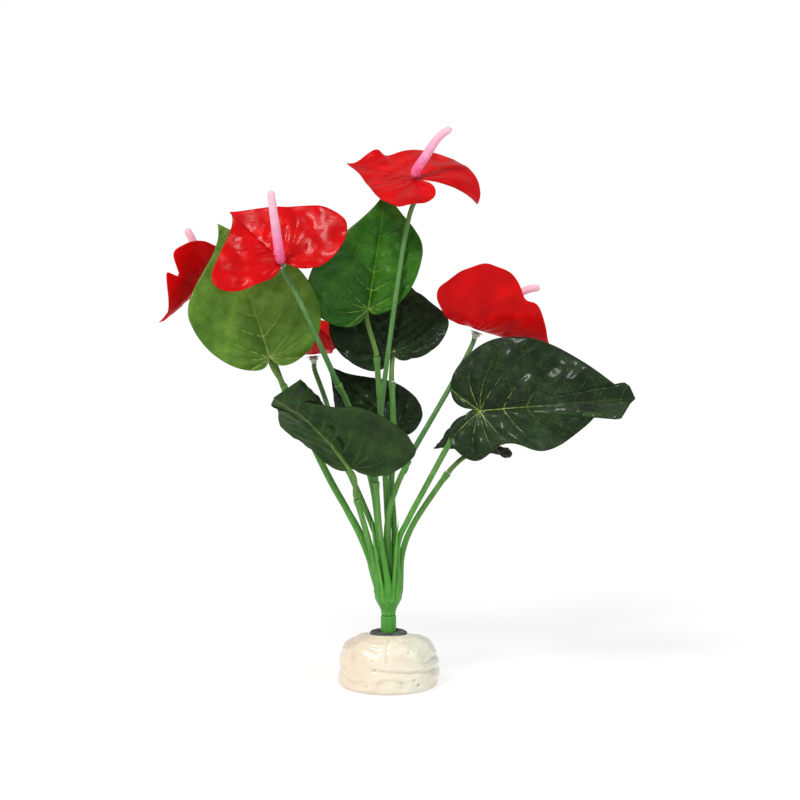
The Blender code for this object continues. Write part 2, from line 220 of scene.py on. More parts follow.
def settle(obj, node, slot):
    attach(obj, "root")
    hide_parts(node)
    low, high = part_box(node)
    seen = obj.evaluated_get(bpy.context.evaluated_depsgraph_get())
    corners = [Vector(c) for c in seen.bound_box]
    beyond = max(max(low[i] - c[i], c[i] - high[i]) for c in corners for i in range(3))
    proud[node] = round(beyond * 1000, 1)
    return obj


def add_mesh(name, mesh, *materials):
    mesh.materials.clear()
    for material in materials:
        mesh.materials.append(material)
    mesh.shade_smooth()
    obj = bpy.data.objects.new(name, mesh)
    bpy.context.scene.collection.objects.link(obj)
    return obj


# %% [markdown]
# ## The blades' measures
# A leaf and a spathe are the same kind of sheet: a heart that is folded along its midrib, bent, and
# waved at its edge. A few measures say all of that, so each blade is one row of numbers in
# millimetres and degrees, and repeats the row that the CAD model was made from. Ruffles are extra
# swellings of the edge: side, place along the edge, width, push outwards, and lift.

# %% Measures of the leaves
BLADES = {
    "leaf_1": dict(base=(-71, -4, 202), tip=(-102, 8, 281), face=(0.1, -0.95, 0.25), halves=(40, 38),
                   widest=(0.42, 0.27), lobes=(8, 9), fold=(8, 8), roll=(8, 10), bend=-12, sway=10,
                   wave=1.0, phase=0.1, neck=(0.1, 0.5)),
    "leaf_2": dict(base=(-12, 6, 230), tip=(-1, 13, 301), face=(0.05, -0.97, 0.2), halves=(39, 30),
                   widest=(0.12, 0.50), lobes=(14, 4), fold=(6, 22), roll=(8, 12), bend=-10,
                   wave=1.0, phase=0.4),
    "leaf_3": dict(base=(3, 15, 203), tip=(10, 44, 243), face=(0.0, -0.78, 0.62), halves=(41, 32),
                   widest=(0.22, 0.36), lobes=(17, 7), fold=(5, 8), roll=(5, 10), bend=-8,
                   wave=1.0, phase=0.7),
    "leaf_4": dict(base=(-23, -13, 137), tip=(-67, -40, 184), face=(0.2, 0.75, 0.6), halves=(44, 30),
                   widest=(0.0, 0.5), lobes=(12, 5), fold=(8, 18), roll=(5, 5), bend=-18, sway=-20,
                   wave=1.2, phase=0.2, ruffles=[(0, 0.98, 0.02, 21, -2), (1, 0.93, 0.04, 6, 0)]),
    "leaf_5": dict(base=(55, -6, 170), tip=(147, -16, 179), face=(0.0, -0.95, 0.3), halves=(43, 36),
                   widest=(0.18, 0.12), lobes=(19, 21), fold=(3, 5), roll=(-6, 10), bend=-10,
                   wave=1.4, phase=0.6, neck=(0.55, 0.25),
                   ruffles=[(1, 0.52, 0.09, -14, 0), (1, 0.945, 0.03, 9, 2), (1, 0.87, 0.03, -2, 0),
                            (0, 0.975, 0.018, 6, 4)]),
    "leaf_6": dict(base=(58, 26, 144), tip=(27, 3, 146), face=(-0.1, -0.35, 0.93), halves=(27, 21),
                   widest=(0.15, 0.15), lobes=(12, 12), fold=(5, 5), roll=(5, 5), bend=-12,
                   wave=0.8, phase=0.5),
    "leaf_7": dict(base=(2, 19, 155), tip=(-38, 25, 193), face=(0.3, -0.8, 0.4), halves=(28, 25),
                   widest=(0.2, 0.05), lobes=(8, 11), fold=(-50, 5), roll=(-10, 5), bend=-8,
                   wave=0.8, phase=0.3),
}

# %% Measures of the spathes
BLADES |= {
    "flower_1": dict(base=(17, 2, 308), tip=(-25, 32, 315), face=(0.15, -0.43, 0.9), halves=(33, 37),
                     widest=(-0.2, 0.3), lobes=(21, 44), fold=(-3, 5), roll=(-5, 3), bend=5,
                     lobe_bend=-12, wave=0.8, phase=0.2,
                     ruffles=[(1, 0.87, 0.06, 6, 5), (1, 0.35, 0.12, 0, -4), (1, 0.05, 0.1, 0, 4)]),
    "flower_2": dict(base=(-63, -24, 262), tip=(-94, -5, 289), face=(-0.05, -0.8, 0.6),
                     halves=(40, 45), widest=(0.29, -0.15), lobes=(6, 20), fold=(3, 3), roll=(5, 5),
                     bend=8, wave=0.8, phase=0.5, neck=(0.0, 0.6), ruffles=[(1, 0.16, 0.1, 4, 0)]),
    "flower_3": dict(base=(-108, 33, 245), tip=(-137, 3, 222), face=(-0.3, -0.5, 0.8),
                     halves=(39, 20), widest=(0.36, -0.1), lobes=(16, 10), fold=(105, 45), roll=(6, 5),
                     bend=8, wave=0.8, phase=0.1, neck=(0.9, 0.1), ruffles=[(0, 0.66, 0.06, -20, 0)]),
    "flower_4": dict(base=(54, 24, 215), tip=(99, 37, 202), face=(0.05, -0.1, 0.97), halves=(30, 46),
                     widest=(0.1, -0.16), lobes=(12, 32), fold=(25, 88), roll=(10, 6), bend=5,
                     lobe_bend=-3, wave=0.8, phase=0.8, neck=(0.6, 0.95),
                     ruffles=[(1, 0.74, 0.08, -8, 0), (1, 0.14, 0.12, 4, 0)]),
    "flower_5": dict(base=(-46, 32, 199), tip=(-86, 44, 198), face=(0.0, -0.1, 0.97), halves=(40, 34),
                     widest=(0.1, 0.1), lobes=(18, 14), fold=(56, 25), roll=(20, 10), bend=5,
                     wave=0.8, phase=0.6),
}
LEAF_CREASE = 0.05
SPATHE_CREASE = 0.2
print(len(BLADES), "blades")


# %% [markdown]
# ## Veins
# A real anthurium leaf has a midrib, side veins that leave it in curved steps, and a fan of veins
# that runs back into the two lobes. One formula gives both: ahead of the first side vein it counts
# steps along the midrib, and behind it counts steps of angle. The same formula is used twice, on
# arrays to press the veins into the mesh and on sockets to paint them, so that the two always agree.

# %% Count the veins across a blade
VEIN_STEP = 0.15  # between side veins, as a share of the blade's length
FAN_STEP = math.radians(27)  # between the veins of a lobe
VEIN_SLOPE = 0.55  # how far ahead a side vein runs for each step outwards
VEIN_CURVE = 0.9
FIRST_VEIN = math.atan2(1, VEIN_SLOPE)
ARRAY_MATHS = {"ARCTAN2": np.arctan2, "SQRT": np.sqrt, "ROUND": np.round, "ABSOLUTE": np.abs,
               "GREATER_THAN": np.greater, "SINE": np.sin}


def on_arrays(operation, *values):
    return ARRAY_MATHS[operation](*values) * 1.0


def side_veins(along, out, maths):
    """(distance to the nearest side vein in steps, one step's width), from places on a flat heart."""
    ahead = along - VEIN_CURVE * out * out
    past = ahead - VEIN_SLOPE * out
    in_front = maths("GREATER_THAN", past, 0.0)
    angle = maths("ARCTAN2", out, ahead)
    radius = maths("SQRT", ahead * ahead + out * out)
    count = in_front * (past / VEIN_STEP) + (1 - in_front) * ((FIRST_VEIN - angle) / FAN_STEP)
    width = in_front * (VEIN_STEP * math.sin(FIRST_VEIN)) + (1 - in_front) * (radius * FAN_STEP)
    return maths("ABSOLUTE", count - maths("ROUND", count)), width


print("side veins leave the midrib at", round(math.degrees(FIRST_VEIN)), "degrees")


# %% [markdown]
# ## The blade's surface
# The outline of each half is two Bezier curves, from the notch to the widest place and on to the tip.
# A grid is laid over the heart so that its lines run from the stalk out to the edge, and every point
# is then lifted by the fold, the bend and the pressed relief. Working on whole arrays keeps a fine
# grid quick to compute.

# %% Outline of half a heart
def bezier(points, t):
    s = 1 - t
    weights = (s ** 3, 3 * s * s * t, 3 * s * t * t, t ** 3)
    return sum(w[..., None] * np.array(p, float) for w, p in zip(weights, points))


def heart_edge(t, length, half, widest, lobe, neck):
    """Points on one half of a heart's edge: t is 0 at the notch behind the stalk and 1 at the tip."""
    side = (widest * length, half)
    back = [(-0.45 * lobe, 0.05 * half), (-1.5 * lobe, 0.22 * half),
            (side[0] - 0.5 * (side[0] + lobe) - 0.1 * length, half), side]
    front = [side, (side[0] + 0.42 * (length - side[0]), half),
             (length - 0.4 * (length - side[0]), neck * half), (length, 0)]
    return np.where((t < 0.5)[..., None], bezier(back, 2 * t), bezier(front, 2 * t - 1))


# %% The curved sheet
class Blade:
    """The surface of one leaf or spathe, in millimetres. Side 0 is the left one, seen from above."""

    def __init__(self, base, tip, face, halves, widest, lobes, fold, roll, bend, wave, phase, crease,
                 sway=0, lobe_bend=0, neck=(0.25, 0.25), ruffles=()):
        self.base = np.array(base, float)
        self.halves, self.widest, self.lobes, self.neck = halves, widest, lobes, neck
        self.fold, self.roll, self.crease = fold, roll, crease
        self.wave, self.phase, self.ruffles = wave, phase, ruffles
        self.trace_rib(math.radians(bend), math.radians(sway), math.radians(lobe_bend))
        chord = np.array(tip, float) - self.base
        bent = np.array([np.interp(1, self.share, self.rib_points[:, i]) for i in range(3)])
        self.length = np.linalg.norm(chord) / np.linalg.norm(bent)
        ahead = Vector(chord).normalized()
        up = (Vector(face) - ahead * ahead.dot(Vector(face))).normalized()
        turn = Vector(bent).rotation_difference(Vector((1, 0, 0))).to_matrix()
        self.axes = np.array(Matrix((ahead, up.cross(ahead), up)).transposed() @ turn)
        self.ahead, self.up = ahead, Vector(self.axes[:, 2])

    def trace_rib(self, bend, sway, lobe_bend):
        """The midrib for a length of 1, with the directions ahead, left and up at each place on it."""
        q = self.share = np.linspace(-0.9, 1, 381)
        lift = bend * np.maximum(q, 0) - lobe_bend * (np.minimum(q, 0) / 0.3) ** 2
        turn = sway * np.maximum(q, 0)
        along = np.stack([np.cos(lift) * np.cos(turn), np.cos(lift) * np.sin(turn), np.sin(lift)], 1)
        self.left = np.stack([-np.sin(turn), np.cos(turn), 0 * turn], 1)
        self.raised = np.cross(along, self.left)
        steps = (along[1:] + along[:-1]) / 2 * (q[1] - q[0])
        points = np.vstack([[0, 0, 0], np.cumsum(steps, 0)])
        self.rib_points = points - points[np.argmin(abs(q))]

    def section(self, side, spread):
        """How far out and up a half reaches at each share of its width, measured along the cloth."""
        s = np.linspace(0, 1.3, 131)
        slope = np.radians(self.fold[side] * (1 - np.exp(-s / self.crease)) + self.roll[side] * s)
        step = self.halves[side] * (s[1] - s[0])
        out = np.concatenate([[0], np.cumsum(np.cos(slope[1:]) * step)])
        rise = np.concatenate([[0], np.cumsum(np.sin(slope[1:]) * step)])
        return np.interp(spread, s, out), np.interp(spread, s, rise)

    def on_rib(self, q, table):
        return np.stack([np.interp(q, self.share, table[:, i]) for i in range(3)], -1)

    def flat(self, t, ring, side):
        """Places on the flat heart in mm: along the midrib and out from it."""
        edge = heart_edge(t, self.length, self.halves[side], self.widest[side], self.lobes[side],
                          self.neck[side])
        for where, middle, width, push, _ in self.ruffles:
            if where == side:
                edge[..., 1] += push * np.exp(-((t - middle) / width) ** 2) * np.minimum(1, 60 * (1 - t))
        return edge[..., 0] * ring, edge[..., 1] * ring

    def surface(self, t, ring, side, relief=None):
        along, out = self.flat(t, ring, side)
        spread = out / self.halves[side]
        across, rise = self.section(side, spread)
        free = ring ** 2 * np.minimum(1, 3 * spread)
        rise = rise + self.wave * free * np.sin(math.tau * (3 * t + self.phase))
        for where, middle, width, _, lift in self.ruffles:
            if where == side:
                rise = rise + lift * ring ** 4 * np.exp(-((t - middle) / width) ** 2)
        if relief is not None:
            rise = rise + relief(along / self.length, out / self.length, t, ring)
        q = along / self.length
        local = (self.on_rib(q, self.rib_points) * self.length
                 + self.on_rib(q, self.left) * (across if side == 0 else -across)[..., None]
                 + self.on_rib(q, self.raised) * rise[..., None])
        return self.base + local @ self.axes.T

    def on_midrib(self, share, lift):
        """A point over or under the midrib, as a Vector."""
        one = np.array([float(share)])
        point = self.surface(np.ones(1), one, 0)[0]
        return Vector(point) + self.up * lift


blades = {}
for name, measures in BLADES.items():
    crease = LEAF_CREASE if name.startswith("leaf") else SPATHE_CREASE
    blades[name] = Blade(**measures, crease=crease)
print("lengths in mm:", {name: round(blade.length) for name, blade in blades.items()})


# %% [markdown]
# ## Pressed relief
# The cloth is pressed between hot moulds. That leaves a groove along each vein on the upper side, soft
# pillows between the veins, and a few wrinkles where the cloth was pushed. The relief is a height in
# millimetres, so it is real geometry that also shows in the outline and in the shadows.

# %% Relief of a leaf and of a spathe
BROAD, FINE = 5, 14  # wrinkles in a blade's length


def wrinkles(along, out, seed, size):
    places = np.stack([along.ravel() * size, out.ravel() * size, 0 * out.ravel() + seed], 1)
    return np.array([noise.noise(Vector(p)) for p in places]).reshape(along.shape)


def pressed(pillow, groove, wrinkle, crinkle, seed):
    """A relief function for Blade.surface, from the heights of its four parts in mm."""
    def relief(along, out, t, ring):
        near, width = side_veins(along, out, on_arrays)
        calm = np.clip(width / 0.1, 0, 1) * (1 - ring ** 5) * np.clip(out / 0.05, 0, 1)
        height = pillow * calm * np.sin(math.pi * near)
        ahead = np.clip(along / 0.1, 0, 1)
        height = height - groove * np.exp(-(out / 0.018) ** 2) * (1 - ring ** 3) * ahead
        away = np.clip(ring * 2, 0, 1)
        height = height + wrinkle * wrinkles(along, out, seed, BROAD) * away
        return height + crinkle * wrinkles(along, out, seed + 7, FINE) * away
    return relief


# %% A blade as a mesh
SPOKES = 60  # from the notch to the tip, on each side
RINGS = 40  # from the stalk to the edge
CLOTH = 0.5 * MM


def blade_mesh(name, blade, relief):
    """The blade's middle surface, with a UV map that holds each point's place on the flat heart."""
    bm = bmesh.new()
    bmesh.ops.create_grid(bm, x_segments=2 * SPOKES, y_segments=RINGS, size=1)
    u = np.array([v.co.x for v in bm.verts])
    ring = np.array([v.co.y / 2 + 0.5 for v in bm.verts])
    points, flat = np.zeros((len(u), 3)), np.zeros((len(u), 2))
    for side, chosen in ((0, u >= 0), (1, u < 0)):
        t, r = 1 - abs(u[chosen]), ring[chosen]
        points[chosen] = blade.surface(t, r, side, relief)
        along, out = blade.flat(t, r, side)
        flat[chosen] = np.stack([along, out if side == 0 else -out], 1) / blade.length
    heart = bm.loops.layers.uv.new("heart")
    for vert, point in zip(bm.verts, points):
        vert.co = Vector(point) * MM
    for face in bm.faces:
        for loop in face.loops:
            loop[heart].uv = flat[loop.vert.index]
    bmesh.ops.remove_doubles(bm, verts=bm.verts, dist=1e-6)
    bmesh.ops.recalc_face_normals(bm, faces=bm.faces)
    facing = sum((face.normal * face.calc_area() for face in bm.faces), Vector())
    if facing.dot(blade.up) < 0:
        bmesh.ops.reverse_faces(bm, faces=bm.faces)
    mesh = bpy.data.meshes.new(name)
    bm.to_mesh(mesh)
    bm.free()
    return mesh


def add_blade(name, mesh, upper, under):
    """Gives the sheet its thickness. The under side takes the second material."""
    obj = add_mesh(name, mesh, upper, under)
    cloth = obj.modifiers.new("cloth", "SOLIDIFY")
    cloth.thickness = CLOTH
    cloth.offset = 0
    cloth.material_offset = 1
    return obj


# %% [markdown]
# ## Leaf cloth
# The leaves are printed cloth: a green that drifts from place to place, paler veins, a net of fine
# lines between them, shallow dents, and the weave under a thin coat. Random dark patches of painted
# shade stand in for the shade in the creases next to the veins. The veins are painted from the UV map
# that holds the flat heart, so they bend with the leaf.

# %% Paint the veins
def painted_veins(finish, thickness):
    """(midrib mask, side vein mask, place on the heart) as wires."""
    heart = finish.node("UVMap", {}, uv_map="heart")
    along = finish.axis(heart, "X")
    out = finish.maths("ABSOLUTE", finish.axis(heart, "Y"))
    shake = (finish.noise(heart, 18.0) - 0.5) * 0.02
    near, width = side_veins(along + shake, out, finish.maths)
    taper = finish.clamp(1.15 - out * 2.4)
    side = 1 - finish.step(near * width / (taper + 0.05), 0.15 * thickness, thickness)
    rib = 1 - finish.step(out + finish.clamp(along) * 0.4 * thickness, 0.5 * thickness, 1.3 * thickness)
    rib = rib * finish.step(along, -0.02, 0.0)
    return rib, side * taper, heart


# %% Upper side of a leaf
def leaf_upper(name, deep, mid, vein, vein_strength, gloss, net, thickness=0.009):
    finish = Finish(name, IOR=1.45, Specular_IOR_Level=0.16, Coat_Roughness=0.12)
    rib, side, heart = painted_veins(finish, thickness)
    drift = finish.noise(heart, 3.5, 4.0)
    patch = finish.noise(heart, 11.0, 5.0, 0.6)
    cells = finish.node("TexVoronoi", {"Vector": heart, "Scale": 38.0}, out="Distance",
                        feature="DISTANCE_TO_EDGE")
    lines = (1 - finish.step(cells, 0.01, 0.07)) * net * finish.step(patch, 0.42, 0.62)
    colour = finish.blend(finish.step(drift, 0.3, 0.7), deep, mid)
    colour = finish.blend((patch - 0.5) * 0.5 + 0.1, colour, mid)
    # Painted shade: random dark patches that stand in for the shade in the creases next to the veins;
    # they follow noise, not the veins.
    painted_shade_noise = finish.noise(heart, 20.0, 3.0)
    colour = finish.blend(finish.step(painted_shade_noise, 0.5, 0.7) * 0.35, colour, deep)
    broken = finish.step(finish.noise(heart, 26.0, 4.0), 0.36, 0.56)
    from_stalk = finish.node("VectorMath", {0: heart}, out="Value", operation="LENGTH")
    root = 1 - finish.step(from_stalk, 0.05, 0.45)
    vivid = finish.clamp(root + 0.18) * vein_strength
    shown = finish.clamp((rib * (broken * 0.6 + 0.4) + side * broken) * vivid + lines)
    colour = finish.blend(shown, colour, vein)
    weave = finish.node("TexWave", {"Vector": finish.place(), "Scale": 700.0, "Distortion": 1.0},
                        out="Fac")
    fine = finish.noise(heart, 60.0, 3.0)
    dents = finish.noise(heart, 9.0, 2.0)
    height = (rib + side) * 0.15 + weave * 0.02 + fine * 0.05 - lines * 0.05 + dents
    return finish.wear(Base_Color=colour, Roughness=gloss + patch * 0.16, Coat_Weight=0.05 + drift * 0.12,
                       Normal=finish.bump(height, 0.0016))


# %% Under side of a leaf
def leaf_under(name, deep, mid, vein, gloss=0.5):
    finish = Finish(name, IOR=1.45, Specular_IOR_Level=0.15)
    rib, side, heart = painted_veins(finish, 0.012)
    drift = finish.noise(heart, 4.0, 4.0)
    colour = finish.blend(finish.step(drift, 0.3, 0.7), deep, mid)
    fleck = finish.step(finish.noise(heart, 34.0, 5.0), 0.56, 0.7)
    colour = finish.blend(finish.clamp(rib * 0.6 + side * 0.16 + fleck * 0.14), colour, vein)
    weave = finish.node("TexWave", {"Vector": finish.place(), "Scale": 700.0, "Distortion": 1.0},
                        out="Fac")
    height = (rib + side) * 0.7 + weave * 0.15 + drift * 0.4
    return finish.wear(Base_Color=colour, Roughness=gloss + drift * 0.15,
                       Normal=finish.bump(height, 0.0002))


# %% The leaves' finishes
LEAF_PAINT = {
    "light": leaf_upper("light_leaf_cloth", tint(64, 106, 26), tint(106, 146, 50), tint(168, 192, 98),
                        0.8, 0.36, 0.14),
    "fresh": leaf_upper("fresh_leaf_cloth", tint(24, 78, 12), tint(58, 116, 26), tint(132, 176, 62),
                        0.9, 0.2, 0.14),
    "dark": leaf_upper("dark_leaf_cloth", tint(13, 30, 13), tint(30, 54, 24), tint(176, 196, 92),
                       0.6, 0.38, 0.08, 0.0045),
}
LEAF_BACK = {
    "light": leaf_under("light_leaf_back", tint(80, 118, 44), tint(112, 146, 72), tint(150, 178, 104)),
    "fresh": leaf_under("fresh_leaf_back", tint(60, 102, 36), tint(86, 126, 52), tint(130, 164, 84)),
    "dark": leaf_under("dark_leaf_back", tint(34, 54, 28), tint(52, 80, 36), tint(110, 140, 66)),
}
LEAF_KIND = {"leaf_1": "light", "leaf_2": "fresh"}
print(len(LEAF_PAINT) + len(LEAF_BACK), "leaf finishes")

# %% Make the leaves
for seed, name in enumerate(n for n in BLADES if n.startswith("leaf")):
    kind = LEAF_KIND.get(name, "dark")
    number = name[-1]
    relief = pressed(pillow=1.6, groove=0.9, wrinkle=1.6, crinkle=0.9, seed=seed * 3.1)
    mesh = blade_mesh(f"leaf_{number}_cloth", blades[name], relief)
    leaf = add_blade(mesh.name, mesh, LEAF_PAINT[kind], LEAF_BACK[kind])
    settle(leaf, f"leaf_blade_{number}", "light_leaf" if number in "12" else "dark_leaf")
print("leaves stand proud by (mm):", {n: d for n, d in proud.items() if "blade" in n})


# %% [markdown]
# ## Spathe cloth
# A spathe is the red heart behind a flower's spike. Its cloth has a satin coat, and the mould leaves
# a few broad puckers in it and hardly any veins. The red stays nearly even, apart from painted shade
# in the low seams between the puckers: what the eye sees is mostly the way that the light slides over
# the puckers, so most of the work is in the relief and the gloss.

# %% Spathe finishes
def spathe_finish(name, deep, bright, gloss, coat):
    finish = Finish(name, IOR=1.48, Specular_IOR_Level=0.08, Coat_Roughness=0.12)
    rib, _, heart = painted_veins(finish, 0.012)
    drift = finish.noise(heart, 3.0, 4.0)
    colour = finish.blend(finish.step(drift, 0.3, 0.7), deep, bright)
    colour = finish.blend(rib * 0.05, colour, deep)
    fine = finish.noise(heart, 42.0, 4.0)
    puckers = finish.node("TexVoronoi", {"Vector": heart, "Scale": 5.0, "Smoothness": 0.8},
                          out="Distance", feature="SMOOTH_F1")
    # Painted shade: the red is darkened in the low seams between the puckers.
    colour = finish.blend(finish.step(puckers, 0.3, 0.75) * 0.25, colour, deep)
    height = fine * 0.06 - puckers * 0.8 - rib * 0.2
    return finish.wear(Base_Color=colour, Roughness=gloss + fine * 0.1, Coat_Weight=coat + drift * 0.06,
                       Normal=finish.bump(height, 0.002))


SPATHE_PAINT = spathe_finish("red_spathe_cloth", tint(184, 0, 4), tint(220, 2, 8), 0.3, 0.06)
SPATHE_BACK = spathe_finish("red_spathe_back", tint(190, 0, 4), tint(226, 5, 9), 0.32, 0.03)

# %% Make the spathes
for seed, name in enumerate(n for n in BLADES if n.startswith("flower")):
    number = name[-1]
    relief = pressed(pillow=0.6, groove=0.0, wrinkle=1.2, crinkle=0.04, seed=40 + seed * 2.7)
    mesh = blade_mesh(f"spathe_{number}_cloth", blades[name], relief)
    spathe = add_blade(mesh.name, mesh, SPATHE_PAINT, SPATHE_BACK)
    settle(spathe, f"spathe_{number}", "red_spathe")
print("spathes stand proud by (mm):", {n: d for n, d in proud.items() if "spathe" in n})


# %% [markdown]
# ## Moulded stems
# Every stem, stalk, spike and spadix is a round rod whose thickness changes along a smooth path. That
# is a rule, so one Geometry Nodes tree makes them all: it sweeps a circle along a curve, takes the
# rod's radius from the curve's own radius, and pushes the skin in and out by a little noise, as a
# moulding has. It also stores how far along the rod each point is, which the finishes use.

# %% Helpers for any Geometry Nodes tree
def new_tree(name, inputs):
    """A Geometry Nodes tree, and the sockets that bring in its named inputs."""
    tree = bpy.data.node_groups.new(name, "GeometryNodeTree")
    for label, kind in inputs.items():
        tree.interface.new_socket(label, in_out="INPUT", socket_type="NodeSocket" + kind)
    tree.interface.new_socket("Shape", in_out="OUTPUT", socket_type="NodeSocketGeometry")
    return tree, tree.nodes.new("NodeGroupInput").outputs


def geometry_node(tree, kind, sockets, out=0, **settings):
    """Adds a node and gives back one of its output sockets."""
    made = tree.nodes.new(kind)
    for key, value in settings.items():
        setattr(made, key, value)
    for key, value in sockets.items():
        if isinstance(value, bpy.types.NodeSocket):
            tree.links.new(value, made.inputs[key])
        else:
            made.inputs[key].default_value = value
    return made.outputs[out]


def close_tree(tree, shape, finish):
    """Ends a tree: copies become real geometry, which then gets its material."""
    whole = geometry_node(tree, "GeometryNodeRealizeInstances", {"Geometry": shape})
    painted = geometry_node(tree, "GeometryNodeSetMaterial", {"Geometry": whole, "Material": finish})
    tree.links.new(painted, tree.nodes.new("NodeGroupOutput").inputs[0])
    return tree


# %% The rod tree
def rod_tree():
    tree, given = new_tree("moulded_rod", {
        "Path": "Geometry", "Sides": "Int", "Lump height": "Float", "Lumps per metre": "Float",
        "Seed": "Float", "Finish": "Material"})
    add = partial(geometry_node, tree)
    factor = add("GeometryNodeSplineParameter", {}, out="Factor")
    marked = add("GeometryNodeStoreNamedAttribute",
                 {"Geometry": given["Path"], "Name": "along", "Value": factor})
    circle = add("GeometryNodeCurvePrimitiveCircle", {"Resolution": given["Sides"], "Radius": 1.0})
    radius = add("GeometryNodeInputRadius", {})
    skin = add("GeometryNodeCurveToMesh",
               {"Curve": marked, "Profile Curve": circle, "Scale": radius, "Fill Caps": True})
    lumps = add("ShaderNodeTexNoise",
                {"W": given["Seed"], "Scale": given["Lumps per metre"], "Detail": 1.0},
                out="Fac", noise_dimensions="4D")
    centred = add("ShaderNodeMath", {0: lumps, 1: 0.5}, operation="SUBTRACT")
    height = add("ShaderNodeMath", {0: centred, 1: given["Lump height"]}, operation="MULTIPLY")
    normal = add("GeometryNodeInputNormal", {})
    push = add("ShaderNodeVectorMath", {0: normal, "Scale": height}, operation="SCALE")
    lumpy = add("GeometryNodeSetPosition", {"Geometry": skin, "Offset": push})
    return close_tree(tree, lumpy, given["Finish"])


ROD = rod_tree()
print("rod tree has", len(ROD.nodes), "nodes")


# %% A rod from its path
def bake(name, data, tree, values):
    """Runs a Geometry Nodes tree on an object and keeps the result as a plain mesh."""
    host = bpy.data.objects.new(name + "_path", data)
    bpy.context.scene.collection.objects.link(host)
    modifier = host.modifiers.new("shape", "NODES")
    modifier.node_group = tree
    for item in tree.interface.items_tree:
        if item.in_out == "INPUT" and item.name in values:
            modifier[item.identifier] = values[item.name]
    made = host.evaluated_get(bpy.context.evaluated_depsgraph_get())
    mesh = bpy.data.meshes.new_from_object(made)
    mesh.name = name
    bpy.data.objects.remove(host, do_unlink=True)
    return mesh


def rod(name, runs, finish, sides=20, lump=0.12, per_metre=160.0, seed=0.0):
    """One piece of one or more rods. Each run is a list of places in mm and a list of radii in mm."""
    curve = bpy.data.curves.new(name, "CURVE")
    curve.dimensions = "3D"
    for places, radii in runs:
        spline = curve.splines.new("POLY")
        spline.points.add(len(places) - 1)
        for point, place, radius in zip(spline.points, places, radii):
            point.co = (*(Vector(place) * MM), 1)
            point.radius = radius * MM
    values = {"Sides": sides, "Lump height": lump * MM, "Lumps per metre": per_metre, "Seed": seed,
              "Finish": finish}
    return add_mesh(name, bake(name, curve, ROD, values), finish)


# %% [markdown]
# ## Stem plastic
# The stems are soft green plastic with a satin skin. Long faint streaks run along them, lighter where
# the plastic was thin, and the leaf stalks are a browner olive that darkens towards the blade.

# %% Stem finishes
def stem_finish(name, foot, head, streak, gloss=0.36):
    """Plastic whose colour goes from foot to head along the rod, with lengthwise streaks."""
    finish = Finish(name, IOR=1.46, Specular_IOR_Level=0.3, Coat_Roughness=0.3)
    place = finish.place()
    long_place = finish.node("Mapping", {"Vector": place, "Scale": (1.0, 1.0, 0.12)})
    streaks = finish.noise(long_place, 620.0, 3.0)
    mottle = finish.noise(place, 120.0, 4.0)
    colour = finish.blend(finish.step(finish.attribute("along"), 0.0, 1.0), foot, head)
    colour = finish.blend(finish.step(streaks, 0.42, 0.75) * 0.55, colour, streak)
    colour = finish.blend(finish.step(mottle, 0.45, 0.8) * 0.3, colour, foot)
    height = streaks * 0.7 + finish.noise(place, 1500.0) * 0.3
    return finish.wear(Base_Color=colour, Roughness=gloss + mottle * 0.2, Coat_Weight=mottle * 0.2,
                       Normal=finish.bump(height, 0.0002))


BRANCH_GREEN = stem_finish("branch_green", tint(70, 146, 46), tint(86, 134, 60), tint(116, 176, 80))
STALK_GREEN = stem_finish("stalk_green", tint(66, 118, 54), tint(92, 138, 74), tint(118, 162, 98))
STALK_OLIVE = stem_finish("stalk_olive", tint(94, 132, 54), tint(72, 98, 38), tint(126, 156, 76), 0.4)
HUB_GREEN = stem_finish("hub_green", tint(70, 146, 48), tint(80, 158, 56), tint(108, 180, 74), 0.32)
SHEATH_GREEN = stem_finish("sheath_green", tint(76, 148, 46), tint(96, 164, 58), tint(114, 180, 74))


# %% [markdown]
# ## Routes of the stems
# The routes repeat the CAD model's: each stem starts in a slot on the hub, passes a few points, and
# ends at its blade. A Catmull-Rom curve makes them smooth, because it goes through its points. The
# bush's own branch ends in a flared socket, and the stalk of the leaf or flower is pushed into it.

